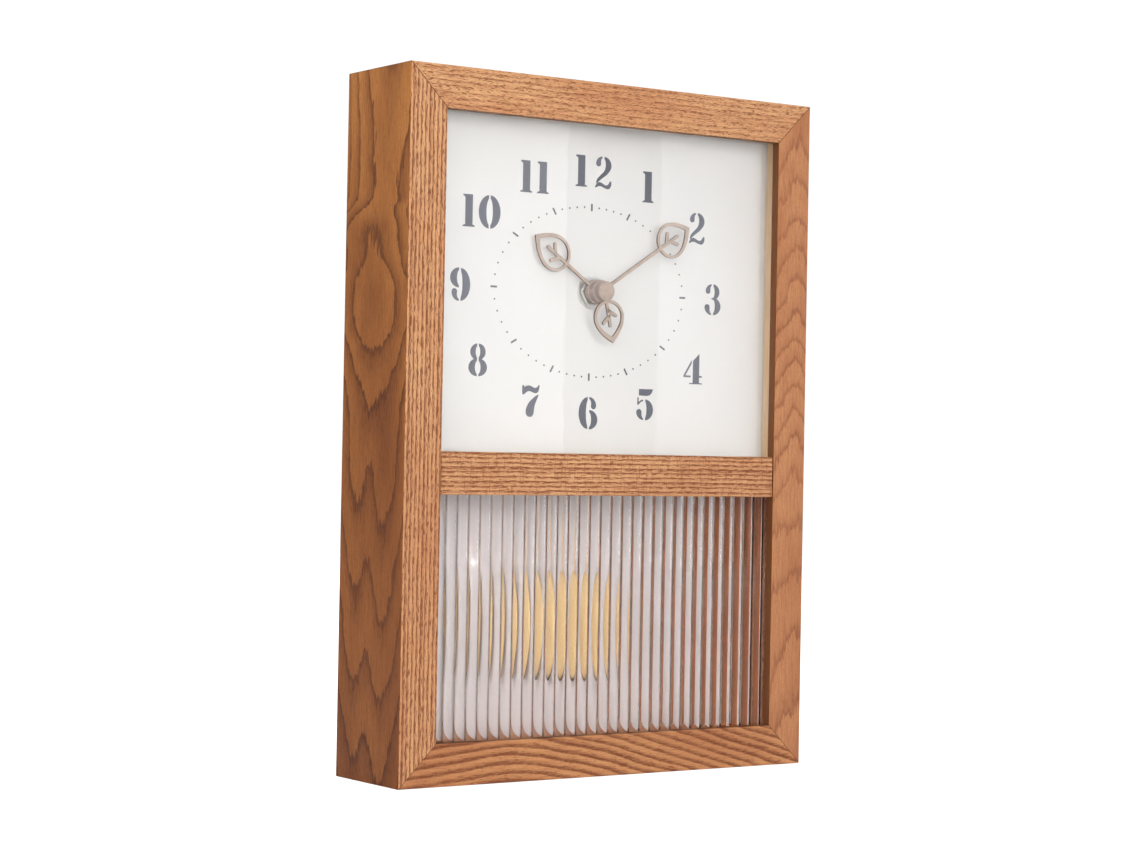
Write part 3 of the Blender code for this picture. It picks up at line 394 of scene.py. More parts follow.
BEAD_WOOD = ash(
    "ash_bead", "x", ("z", 1.0, 0.0), ("y", 0.0), STRAIGHT, STRAIGHT, (-HALF_MM, HALF_MM, 1.0, LEVEL),
    shift=31.0,
)
FLOOR_WOOD = ash(
    "ash_floor", "x", ("z", 1.0, 16.0), ("y", 0.0), DASHES, DASHES, (-HALF_MM, HALF_MM, 1.0, LEVEL),
    inside=("z", 1.0), shift=33.0,
)
UPRIGHT_BEAD_WOOD = ash(
    "ash_upright_bead", "z", ("x", 1.0, 0.0), ("y", 0.0), STRAIGHT, STRAIGHT, (0.0, TOP_MM, 1.0, LEVEL),
    shift=35.0,
)


def plain_wood(name, light, dark, grain_axis, shift):
    """Pale close-grained wood with faint fibres."""
    graph = Graph(name, Specular_IOR_Level=0.3)
    stretch = [3.0, 3.0, 3.0]
    stretch[grain_axis] = 0.06
    fibre = graph.noise(tuple(stretch), 3.0, 0.6, shift)
    cloud = graph.noise((0.03, 0.03, 0.03), 2.0, shift=shift + 5)
    colour = graph.mix(graph.span(fibre, 0.3, 0.75), light, dark)
    colour = graph.mix(graph.span(cloud, 0.35, 0.7, 0.0, 0.35), colour, dark)
    rough = graph.span(fibre, 0.3, 0.7, 0.5, 0.65)
    return graph.set(Base_Color=colour, Roughness=rough, Normal=graph.bump(fibre, 0.0001, 0.4))


PALE_UPRIGHT = plain_wood("pale_wood_upright", rgb(228, 204, 172), rgb(198, 168, 132), 2, 2.0)
PALE_LEVEL = plain_wood("pale_wood_level", rgb(228, 204, 172), rgb(198, 168, 132), 0, 8.0)
BLOCK_WOOD = plain_wood("pine_block", rgb(214, 186, 140), rgb(184, 142, 92), 1, 14.0)


# ================================================================ other materials
def paper(name, colour, tint):
    """Matte printed sheet with a faint tooth."""
    graph = Graph(name, Specular_IOR_Level=0.25)
    tooth = graph.noise((9.0, 9.0, 9.0), 3.0, 0.6)
    cloud = graph.noise((0.02, 0.02, 0.02), 2.0, shift=6)
    base = graph.mix(graph.span(cloud, 0.3, 0.7, 0.0, 0.5), colour, tint)
    base = graph.mix(graph.span(tooth, 0.4, 0.8, 0.0, 0.12), base, rgb(205, 204, 200))
    rough = graph.span(tooth, 0.3, 0.7, 0.55, 0.7)
    return graph.set(Base_Color=base, Roughness=rough, Normal=graph.bump(tooth, 0.00002, 0.5))


DIAL_PAPER = paper("dial_paper", rgb(217, 216, 214), rgb(213, 211, 209))
BACK_BOARD = paper("white_faced_board", rgb(212, 206, 206), rgb(206, 200, 200))


def ink(name, colour, worn):
    """Printed ink that is slightly uneven."""
    graph = Graph(name, Specular_IOR_Level=0.3)
    patch = graph.noise((1.6, 1.6, 1.6), 3.0, 0.65)
    speck = graph.noise((7.0, 7.0, 7.0), 1.0, shift=3)
    base = graph.mix(graph.span(patch, 0.35, 0.7, 0.0, 0.5), colour, worn)
    rough = graph.span(speck, 0.3, 0.7, 0.42, 0.55)
    return graph.set(Base_Color=base, Roughness=rough, Normal=graph.bump(speck, 0.00001, 0.5))


NUMERAL_INK = ink("dial_ink", rgb(88, 90, 100), rgb(101, 103, 112))
TRACK_INK = ink("track_ink", rgb(86, 86, 92), rgb(104, 104, 110))


def metal(name, colour, worn, roughness, stretch=(2.0, 2.0, 2.0), scratch=0.00001, under=None, **constants):
    """Metal with fine wear; stretch is the number of marks in a millimetre along each axis. under is
    the colour of the painted shade on edges that look down."""
    graph = Graph(name, **{"Metallic": 1.0, **constants})
    brushed = graph.noise(stretch, 3.0, 0.6)
    smudge = graph.noise((0.12, 0.12, 0.12), 2.0, shift=9)
    base = graph.mix(graph.span(brushed, 0.3, 0.75), colour, worn)
    # painted shade: faces that look down are darkened towards the under colour
    if under:
        base = graph.mix(graph.span(graph.normal()[2], -0.45, -0.2, 1.0, 0.0), base, under)
    rough = graph.math("ADD", graph.span(brushed, 0.3, 0.7, roughness * 0.8, roughness * 1.2),
                       graph.span(smudge, 0.4, 0.8, 0.0, 0.08))
    return graph.set(Base_Color=base, Roughness=rough, Normal=graph.bump(brushed, scratch, 0.5))


def satin(name, colour, worn, edge, metallic, roughness):
    """Lacquered sheet metal with painted shade on its sideways edges; its faces look along Y."""
    graph = Graph(name, Metallic=metallic, Coat_Weight=0.1, Coat_Roughness=0.3)
    grain = graph.noise((5.0, 5.0, 5.0), 2.0, 0.6)
    smudge = graph.noise((0.3, 0.3, 0.3), 2.0, shift=5)
    level = graph.math("ABSOLUTE", graph.normal()[1])
    base = graph.mix(graph.span(smudge, 0.35, 0.7), colour, worn)
    # painted shade: faces that look sideways take the darker edge colour
    base = graph.mix(graph.span(level, 0.15, 0.85, 1.0, 0.0), base, edge)
    rough = graph.span(grain, 0.3, 0.7, roughness * 0.85, roughness * 1.15)
    return graph.set(Base_Color=base, Roughness=rough, Normal=graph.bump(grain, 0.00001, 0.5))


# the third colour of each is the painted shade on the sideways faces
HAND_METAL = satin("rose_grey_satin", rgb(190, 170, 156), rgb(176, 156, 142), rgb(70, 54, 46), 0.40, 0.42)
BOSS_METAL = satin("rose_grey_turned", rgb(184, 165, 153), rgb(171, 152, 140), rgb(146, 133, 128), 0.40, 0.42)
CHROME = metal("chrome_plate", rgb(244, 243, 240), rgb(230, 229, 226), 0.30, scratch=0.000003)
# the brass is darkened by painted shade where it looks down
BRASS = metal(
    "brushed_brass", rgb(255, 223, 164), rgb(242, 198, 136), 0.38, (0.15, 3.0, 5.0), under=rgb(112, 76, 52),
    Metallic=0.70,
)
STEEL = metal("bright_steel", rgb(190, 190, 190), rgb(160, 160, 162), 0.32)
COPPER = metal("wound_copper", rgb(196, 112, 66), rgb(150, 74, 38), 0.35, (0.4, 7.0, 0.4), 0.00012)
MAGNET = metal("sintered_magnet", rgb(88, 88, 92), rgb(64, 64, 68), 0.5)


def moulded(name, colour, shade, roughness, texture=0.00003):
    """Moulded plastic with a spark-eroded texture and faint scuffs."""
    graph = Graph(name, Specular_IOR_Level=0.45)
    grain = graph.noise((3.5, 3.5, 3.5), 3.0, 0.65)
    scuff = graph.noise((0.08, 0.9, 0.2), 3.0, 0.7, shift=12)
    base = graph.mix(graph.span(grain, 0.3, 0.75), colour, shade)
    rough = graph.math("SUBTRACT", graph.span(grain, 0.3, 0.7, roughness * 0.85, roughness * 1.15),
                       graph.span(scuff, 0.6, 0.75, 0.0, 0.12))
    return graph.set(Base_Color=base, Roughness=rough, Normal=graph.bump(grain, texture, 0.6))


BLACK_PLASTIC = moulded("black_moulding", rgb(38, 38, 40), rgb(28, 28, 30), 0.5)
WHITE_PLASTIC = moulded("white_moulding", rgb(236, 235, 230), rgb(226, 225, 220), 0.4)


def circuit():
    """Lacquered circuit board with faint copper tracks under the lacquer."""
    graph = Graph("circuit_lacquer", Coat_Weight=0.5, Coat_Roughness=0.15, Roughness=0.45)
    x, _, z = graph.axes()
    lane = graph.math("FRACT", graph.math("MULTIPLY", graph.math("ADD", x, z), 0.6))
    break_up = graph.noise((0.25, 0.25, 0.25), 1.0)
    track = graph.math("MULTIPLY", graph.span(lane, 0.45, 0.5), graph.span(break_up, 0.5, 0.53))
    colour = graph.mix(track, rgb(28, 86, 46), rgb(52, 116, 60))
    return graph.set(Base_Color=colour, Normal=graph.bump(track, 0.00004, 0.8))


def battery_skin():
    """Printed steel can: a dark sleeve with one plain copper band, no lettering."""
    graph = Graph("battery_sleeve", Metallic=0.7, Coat_Weight=0.4, Coat_Roughness=0.12)
    low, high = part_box("battery")
    share = graph.span(graph.axes()[0], low.x * 1000, high.x * 1000, smooth=False)
    band = graph.span(share, 0.70, 0.705)
    foot = graph.math("SUBTRACT", 1.0, graph.span(share, 0.01, 0.015))
    nub = graph.math("MAXIMUM", graph.span(share, 0.965, 0.97), foot)
    wear = graph.noise((1.5, 1.5, 1.5), 3.0, 0.65)
    colour = graph.mix(band, rgb(46, 48, 54), rgb(186, 122, 70))
    colour = graph.mix(nub, colour, rgb(200, 200, 200))
    colour = graph.mix(graph.span(wear, 0.62, 0.75, 0.0, 0.35), colour, rgb(150, 150, 150))
    return graph.set(Base_Color=colour, Roughness=graph.span(wear, 0.3, 0.7, 0.25, 0.4))


CLEAN_GLASS = (0.99, 0.99, 0.99, 1.0)
HAZY_GLASS = (0.975, 0.975, 0.97, 1.0)
# painted shade for the valleys between the ribs of the reeded glass
VALLEY_PAINTED_SHADE = rgb(136, 110, 94)


def clear_glass(name, roughness, wave, through, pitch=0.0, back=0.0):
    """Clear glass. Shadow rays pass, so that the light gets in through it; through is the share that
    each face lets in. A smooth pane has a faint haze. Reeded glass has a pitch, and painted shade in
    the valleys in front of its back face."""
    graph = Graph(name, Transmission_Weight=1.0, IOR=1.5, Roughness=roughness)
    ripple = graph.noise((0.05, 0.05, 0.05), 2.0)
    dust = graph.noise((1.5, 1.5, 1.5), 3.0, 0.7, shift=4)
    graph.set(Normal=graph.bump(ripple, wave, 0.5))
    if pitch:
        x, y, _ = graph.axes()
        phase = graph.math("FRACT", graph.math("ADD", graph.math("DIVIDE", x, pitch), 0.5))
        off = graph.math("ABSOLUTE", graph.math("SUBTRACT", phase, 0.5))
        patch = graph.span(graph.noise((0.6, 0.6, 0.25), 2.0, shift=9), 0.2, 0.6, 0.7, 1.0)
        # painted shade: the valleys between the ribs darken the glass's colour, in front of its back face
        valley_shade = graph.math("MULTIPLY", graph.span(off, 0.38, 0.48), patch)
        valley_shade = graph.math("MULTIPLY", valley_shade, graph.math("LESS_THAN", y, back))
        graph.set(Roughness=graph.span(dust, 0.55, 0.85, roughness, roughness + 0.04))
        graph.set(Base_Color=graph.mix(valley_shade, CLEAN_GLASS, VALLEY_PAINTED_SHADE))
    else:
        graph.set(Base_Color=graph.mix(graph.span(dust, 0.5, 0.8), CLEAN_GLASS, HAZY_GLASS))
    open_pane = graph.add("BsdfTransparent")
    open_pane.inputs["Color"].default_value = (through, through, through, 1.0)
    choose = graph.add("MixShader")
    graph.feed(choose.inputs[0], graph.add("LightPath").outputs["Is Shadow Ray"])
    graph.feed(choose.inputs[1], graph.shader.outputs[0])
    graph.feed(choose.inputs[2], open_pane.outputs[0])
    graph.feed(graph.tree.nodes["Material Output"].inputs["Surface"], choose.outputs[0])
    return graph.material


RIB_PITCH = 0.0061
REEDED_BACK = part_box("reeded_glass")[1].y * 1000 - 0.2      # millimetres, just before its flat back
CLEAR_GLASS = clear_glass("clear_glass", 0.0, 0.00002, 0.885)
REEDED_GLASS = clear_glass("reeded_glass", 0.01, 0.00004, 0.865, RIB_PITCH * 1000, REEDED_BACK)
CIRCUIT = circuit()
BATTERY_SKIN = battery_skin()


# ================================================================ materials on the CAD nodes
FINISHES = {
    "left_side_board": LEFT_WOOD,
    "right_side_board": RIGHT_WOOD,
    "top_board": TOP_WOOD,
    "bottom_board": BOTTOM_WOOD,
    "middle_rail": RAIL_WOOD,
    "glass_bead_top": BEAD_WOOD,
    "glass_bead_bottom": BEAD_WOOD,
    "compartment_floor": FLOOR_WOOD,
    "glass_bead_left": UPRIGHT_BEAD_WOOD,
    "glass_bead_right": UPRIGHT_BEAD_WOOD,
    "dial_spacer_left": PALE_UPRIGHT,
    "dial_spacer_right": PALE_UPRIGHT,
    "dial_spacer_top": PALE_LEVEL,
    "dial_spacer_bottom": PALE_LEVEL,
    "dial_glass": CLEAR_GLASS,
    "reeded_glass": REEDED_GLASS,
    "dial_panel": DIAL_PAPER,
    "back_panel": BACK_BOARD,
}
BY_SLOT = {
    "pale_wood": BLOCK_WOOD,
    "hand_metal": HAND_METAL,
    "chrome": CHROME,
    "brass": BRASS,
    "steel": STEEL,
    "black_plastic": BLACK_PLASTIC,
    "white_plastic": WHITE_PLASTIC,
    "copper_winding": COPPER,
    "board_green": CIRCUIT,
    "magnet_grey": MAGNET,
    "battery_sleeve": BATTERY_SKIN,
}
slot_of = {part["node"]: part["material_slot"] for part in frame["record"]["subparts"]}


def dress(thing, finish):
    thing.data.materials.clear()
    thing.data.materials.append(finish)


for name, node in nodes.items():
    dress(node, FINISHES.get(name) or BY_SLOT[slot_of[name]])


# ================================================================ mesh building
WELD = 1e-7
SHEET_WELD = 2e-6


def mesh_object(name, build, finish, smooth_angle=None):
    """A piece whose mesh build(bm) makes, in the row frame."""
    bm = bmesh.new()
    build(bm)
    bmesh.ops.recalc_face_normals(bm, faces=bm.faces)
    mesh = bpy.data.meshes.new(name)
    bm.to_mesh(mesh)
    bm.free()
    thing = bpy.data.objects.new(name, mesh)
    scene.collection.objects.link(thing)
    mesh.materials.append(finish)
    if smooth_angle is not None:
        mesh.shade_smooth()
        mesh.set_sharp_from_angle(angle=math.radians(smooth_angle))
    return thing


def place_piece(thing, body):
    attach(thing, body)
    return thing


def lathe(bm, profile, centre, sides=96):
    """Turns (radius, depth) points about an axis along Y through centre (x, z)."""
    rings = []
    for radius, deep in profile:
        if radius < WELD:
            rings.append([bm.verts.new((centre[0], depth(deep), centre[1]))])
            continue
        ring = []
        for side in range(sides):
            angle = 2 * math.pi * side / sides
            spot = (centre[0] + radius * math.cos(angle), depth(deep), centre[1] + radius * math.sin(angle))
            ring.append(bm.verts.new(spot))
        rings.append(ring)
    for first, second in zip(rings, rings[1:]):
        for side in range(sides):
            after = (side + 1) % sides
            if len(first) == 1 and len(second) == 1:
                break
            if len(first) == 1:
                bm.faces.new((first[0], second[side], second[after]))
            elif len(second) == 1:
                bm.faces.new((first[side], first[after], second[0]))
            else:
                bm.faces.new((first[side], first[after], second[after], second[side]))


def closed_profile(bm, profile, centre, sides=96):
    """As lathe, for a profile that ends where it starts, such as a ring."""
    lathe(bm, list(profile) + [profile[0]], centre, sides)
    bmesh.ops.remove_doubles(bm, verts=bm.verts, dist=WELD)


def sheet_piece(name, outlines, deep, thick, finish, rounding=0.0, turn=0.0, centre=(0.0, AXIS_Z)):
    """A flat piece that faces the front, cut to closed outlines of (x, z) about centre and turned
    clockwise by turn degrees; deep is the depth of its middle."""
    curve = bpy.data.curves.new(name, "CURVE")
    curve.dimensions = "2D"
    curve.fill_mode = "BOTH"
    curve.extrude = thick / 2 - rounding
    curve.bevel_depth = rounding
    curve.bevel_resolution = 2
    curve.offset = -rounding
    for outline in outlines:
        spline = curve.splines.new("POLY")
        spline.points.add(len(outline) - 1)
        for point, (x, z) in zip(spline.points, outline):
            point.co = (x, z, 0.0, 1.0)
        spline.use_cyclic_u = True
    maker = bpy.data.objects.new(name + "_curve", curve)
    scene.collection.objects.link(maker)
    bpy.context.view_layer.update()
    shape = bpy.data.meshes.new_from_object(maker.evaluated_get(bpy.context.evaluated_depsgraph_get()))
    bpy.data.objects.remove(maker)
    bpy.data.curves.remove(curve)
    move = Matrix.Translation((centre[0], depth(deep), centre[1]))
    upright = Matrix.Rotation(math.radians(turn), 4, "Y") @ Matrix.Rotation(math.radians(90), 4, "X")
    shape.transform(move @ upright)
    bm = bmesh.new()
    bm.from_mesh(shape)
    bmesh.ops.remove_doubles(bm, verts=bm.verts, dist=SHEET_WELD)
    bmesh.ops.recalc_face_normals(bm, faces=bm.faces)
    bm.to_mesh(shape)
    bm.free()
    shape.name = name
    shape.materials.clear()
    shape.materials.append(finish)
    thing = bpy.data.objects.new(name, shape)
    scene.collection.objects.link(thing)
    return thing


# ================================================================ dial print
ARC_STEP = 9                 # degrees between the points of an arc


def arc(x, y, wide, tall, start, end):
    """Points along an ellipse from start to end degrees, in hundredths of the numeral's height."""
    steps = max(3, int(abs(end - start) / ARC_STEP))
    spots = []
    for step in range(steps + 1):
        angle = math.radians(start + (end - start) * step / steps)
        spots.append((x + wide * math.cos(angle), y + tall * math.sin(angle)))
    return spots


def soft(outline, times=2):
    """A closed outline with its corners rounded off: each side is cut a quarter in from both ends."""
    for _ in range(times):
        rounded = []
        for (x0, y0), (x1, y1) in zip(outline, outline[1:] + outline[:1]):
            rounded.append((0.75 * x0 + 0.25 * x1, 0.75 * y0 + 0.25 * y1))
            rounded.append((0.25 * x0 + 0.75 * x1, 0.25 * y0 + 0.75 * y1))
        outline = rounded
    return outline


def mirrored(parts):
    return [[(-x, y) for x, y in part] for part in parts]


def upside_down(parts):
    return [[(-x, 100 - y) for x, y in part] for part in parts]


UPPER_BALL = (
    arc(-1, 76, 27, 25, 95, 170) + arc(-18, 78, 9.5, 9.5, 175, 370) + arc(-3, 83, 6, 12, 190, 95)
)
LOWER_BALL = (
    arc(-1, 27, 31, 28, 265, 190) + arc(-21, 24, 10.5, 10.5, 190, -10) + arc(-4, 20, 7, 15, 170, 265)
)
HALF_NOUGHT = [arc(0, 50, 40, 52, 94, 266) + arc(0, 50, 12, 42, 255, 105)]
HALF_EIGHT = [
    arc(0, 75, 28, 26, 96, 240) + arc(0, 27, 34, 28, 114, 265)
    + arc(0, 27, 10.5, 21, 253, 107) + arc(0, 75, 8.5, 18.5, 249, 111)
]
SIX = [
    arc(0, 50, 37, 51, 94, 266) + arc(0, 50, 9, 42, 250, 110),
    arc(3, 73, 27, 28, 89, 0) + arc(20, 73, 10, 10.5, 0, -195) + arc(3, 79, 8, 15, -15, 85),
    arc(3, 29, 33, 31, 88, -88) + arc(3, 29, 8.5, 23, -82, 82),
]
GLYPHS = {
    "0": HALF_NOUGHT + mirrored(HALF_NOUGHT),
    "1": [
        [(-22, 0), (22, 0), (22, 4), (14, 7), (14, 100), (-21, 100), (-21, 95), (-13, 91), (-13, 7),
         (-22, 4)],
    ],
    "2": [
        UPPER_BALL,
        arc(2, 73, 30, 28, 85, -38)
        + [(14, 43), (-4, 31), (-18, 20), (-25, 14), (-27, 19), (-22, 30), (-8, 43), (4, 54)]
        + arc(2, 75, 8, 19, -40, 75),
        soft([(-31, 1), (-27, 11), (-17, 20), (-4, 17), (10, 9), (20, 12), (27, 24), (33, 24), (33, 10),
              (25, -2), (10, -1), (-6, 6), (-18, 6), (-28, 0)]),
    ],
    "3": [
        UPPER_BALL,
        arc(2, 75, 27, 26, 85, -55) + arc(2, 28, 32, 29, 58, -86) + arc(2, 28, 9, 22, -78, 75)
        + [(-7, 53)] + arc(2, 75, 7, 19, -72, 72),
        LOWER_BALL,
    ],
    "4": [
        [(21, 100), (-5, 76), (-5, 4), (-19, 4), (-19, 0), (33, 0), (33, 4), (21, 4), (21, 22), (32, 22),
         (32, 28), (21, 28)],
        [(-10, 79), (-43, 28), (-43, 22), (-14, 22), (-14, 28), (-35, 28), (-10, 67)],
    ],
    "5": [
        [(-22, 99), (34, 99), (29, 87), (20, 79), (8, 77), (-22, 78)],
        [(-28, 72), (-23, 72), (-23, 57), (-13, 64), (-5, 65), (-5, 60), (-13, 58), (-24, 48), (-28, 48)],
        arc(2, 32, 33, 34, 86, -86) + arc(2, 32, 7, 27, -75, 75),
        LOWER_BALL,
    ],
    "6": SIX,
    "7": [
        soft([(-33, 99), (-27, 99), (-25, 91), (-13, 98), (0, 97), (12, 90), (23, 92), (28, 100), (33, 100),
              (31, 88), (27, 76), (14, 73), (0, 80), (-12, 80), (-22, 72), (-27, 68), (-33, 70)]),
        soft([(29, 71), (27, 62), (17, 42), (13, 28), (12, 10), (5, 0), (-6, -1), (-16, 4), (-19, 16),
              (-16, 30), (-6, 46), (8, 58), (22, 68)]),
    ],
    "8": HALF_EIGHT + mirrored(HALF_EIGHT),
    "9": upside_down(SIX),
}

NUMERAL_TALL = 0.0150
PRINT_THICK = 0.00008
PRINT_GAP = 0.00001
PRINT_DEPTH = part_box("dial_panel")[0].y - FRONT_Y - PRINT_THICK / 2 - PRINT_GAP
# the middle of each numeral, right of and above the hands' axis, and its digits' places along x
NUMERALS = {
    "12": (0.0, 0.0575, (-0.0064, 0.0062)),
    "1": (0.0330, 0.0525, (0.0,)),
    "2": (0.0628, 0.0344, (0.0,)),
    "3": (0.0733, 0.0, (0.0,)),
    "4": (0.0628, -0.0344, (0.0,)),
    "5": (0.0330, -0.0525, (0.0,)),
    "6": (0.0, -0.0575, (0.0,)),
    "7": (-0.0330, -0.0525, (0.0,)),
    "8": (-0.0628, -0.0344, (0.0,)),
    "9": (-0.0733, 0.0, (0.0,)),
    "10": (-0.0628, 0.0344, (-0.0064, 0.0050)),
    "11": (-0.0330, 0.0525, (-0.0047, 0.0047)),
}

for label, (right, up, places) in NUMERALS.items():
    unit = NUMERAL_TALL / 100
    outlines = []
    for digit, shift in zip(label, places):
        for part in GLYPHS[digit]:
            outlines.append([(right + shift + x * unit, up + (y - 50) * unit) for x, y in part])
    numeral = sheet_piece("numeral_" + label, outlines, PRINT_DEPTH, PRINT_THICK, NUMERAL_INK)
    place_piece(numeral, "case")

TRACK_WIDE = 0.0548          # half width and half height of the minute track, a flattened oval
TRACK_TALL = 0.0404
DOT_RADIUS = 0.00045
BAR_LONG = 0.0035
BAR_WIDE = 0.0009
track = []
for minute in range(60):
    angle = math.radians(6 * minute)
    towards = (math.sin(angle), math.cos(angle))
    reach = 1 / math.hypot(towards[0] / TRACK_WIDE, towards[1] / TRACK_TALL)
    x, z = towards[0] * reach, towards[1] * reach
    if minute % 5:
        track.append([
            (x + DOT_RADIUS * math.cos(turn), z + DOT_RADIUS * math.sin(turn))
            for turn in (math.radians(30 * step) for step in range(12))
        ])
    else:
        out = (towards[0] * BAR_LONG / 2, towards[1] * BAR_LONG / 2)
        wide = (towards[1] * BAR_WIDE / 2, -towards[0] * BAR_WIDE / 2)
        track.append([
            (x + a * out[0] + b * wide[0], z + a * out[1] + b * wide[1])
            for a, b in ((1, 1), (1, -1), (-1, -1), (-1, 1))
        ])
place_piece(sheet_piece("minute_track", track, PRINT_DEPTH, PRINT_THICK, TRACK_INK), "case")


# ================================================================ reeded glass
RIB_RADIUS = 0.0035
RIBS = 35
RIB_STEPS = 20


def reeded(bm):
    """Round ribs at the front, flat at the back, with softened valleys."""
    low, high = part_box("reeded_glass")
    crest = low.y
    spread = math.asin(RIB_PITCH / 2 / RIB_RADIUS)
    valley = crest + RIB_RADIUS * (1 - math.cos(spread))
    line = [(low.x, valley)]
    for rib in range(RIBS):
        middle = (rib + 0.5 - RIBS / 2) * RIB_PITCH
        for step in range(RIB_STEPS):
            angle = spread * (2 * (step + 0.5) / RIB_STEPS - 1)
            line.append((middle + RIB_RADIUS * math.sin(angle), crest + RIB_RADIUS * (1 - math.cos(angle))))
    line.append((high.x, valley))
    line += [(high.x, high.y), (low.x, high.y)]
    lower = [bm.verts.new((x, y, low.z)) for x, y in line]
    upper = [bm.verts.new((x, y, high.z)) for x, y in line]
    for index in range(len(line)):
        after = (index + 1) % len(line)
        bm.faces.new((lower[index], lower[after], upper[after], upper[index]))
    bm.faces.new(lower)
    bm.faces.new(upper)


ribs = mesh_object("reeded_pane", reeded, REEDED_GLASS, smooth_angle=40)
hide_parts("reeded_glass")
place_piece(ribs, "case")


# ================================================================ mitres
LIP = 0.0050                 # the boards' section: a lip in front, a wall behind it
WALL = 0.0065
STILE = 0.0195
GLUE_HALF = 0.00012
GLUE_INSET = 0.00015
GLUE = plain_wood("mitre_line", rgb(172, 114, 74), rgb(146, 92, 58), 1, 41.0)


def glue_line(name, right, up):
    """The brown line that fills one corner's mitre, cut to the boards' section."""

    def build(bm):
        corner = (right * HALF_WIDTH, CASE_TOP if up > 0 else 0.0)
        near, back = GLUE_INSET, 2 * -FRONT_Y - GLUE_INSET
        lip, wall, stile = LIP - GLUE_INSET, WALL - GLUE_INSET, STILE - GLUE_INSET
        section = [(near, near), (stile, near), (stile, lip), (wall, lip), (wall, back), (near, back)]
        layers = []
        for side in (-1, 1):
            shift = side * GLUE_HALF / math.sqrt(2)
            layers.append([
                bm.verts.new((
                    corner[0] - right * (inward - shift), depth(deep), corner[1] - up * (inward + shift),
                ))
                for inward, deep in section
            ])
        for index in range(len(section)):
            after = (index + 1) % len(section)
            bm.faces.new((layers[0][index], layers[0][after], layers[1][after], layers[1][index]))
        bm.faces.new(layers[0])
        bm.faces.new(layers[1])

    place_piece(mesh_object(name, build, GLUE), "case")


for level, up in (("upper", 1), ("lower", -1)):
    for end, right in (("left", -1), ("right", 1)):
        glue_line("mitre_" + level + "_" + end, right, up)


# ================================================================ hands
HAND_THICK = 0.0012
ARM_WIDE = 0.0016
ARM_ROOT = 0.8               # share of the boss's radius
ARM_THICK = HAND_THICK * 0.94        # thinner than the leaf, so that no two faces lie in one plane
LEAF_BAND = 0.0015
LEAF_WIDE = 0.0172
LEAF_POINT = 2.9             # the opening is shorter than the leaf by this many bands
LEAF_FULLNESS = 1.9
LEAF_WIDEST = 0.41           # shares of the leaf's length
LOW_VEIN = 0.24
HIGH_VEIN = 0.38
ARM_END = 0.60
LEFT_VEIN = 0.0052
RIGHT_VEIN = 0.0044
VEIN_LEAN = math.radians(52)
HAND_ROUNDING = 0.00022
BOSS_EDGE = 0.0003
BOSS_DISH = 0.00005          # how far the front sinks towards the bore


def leaf_outline(start, length, width, steps=28):
    """A leaf along +Z: round at its start, widest at two fifths, pointed at its end."""
    side = []
    for step in range(2 * steps + 1):
        if step <= steps:
            turn = math.pi / 2 * step / steps
            along = LEAF_WIDEST * (1 - math.cos(turn))
            half_width = width / 2 * math.sin(turn)
        else:
            rest = (step - steps) / steps
            along = LEAF_WIDEST + (1 - LEAF_WIDEST) * rest
            half_width = width / 2 * (1 - rest**LEAF_FULLNESS)
        side.append((half_width, start + along * length))
    return side + [(-x, z) for x, z in reversed(side[1:-1])]


def bar_outline(width, start, end, steps=8):
    """A strip with round ends."""
    first, second = Vector(start), Vector(end)
    along = (second - first).normalized()
    across = Vector((-along.y, along.x))
    outline = []
    for centre, turn in ((first, 90), (second, -90)):
        for step in range(steps + 1):
            angle = math.radians(turn + 180 * step / steps)
            outline.append(tuple(centre + (along * math.cos(angle) + across * math.sin(angle)) * width / 2))
    return outline


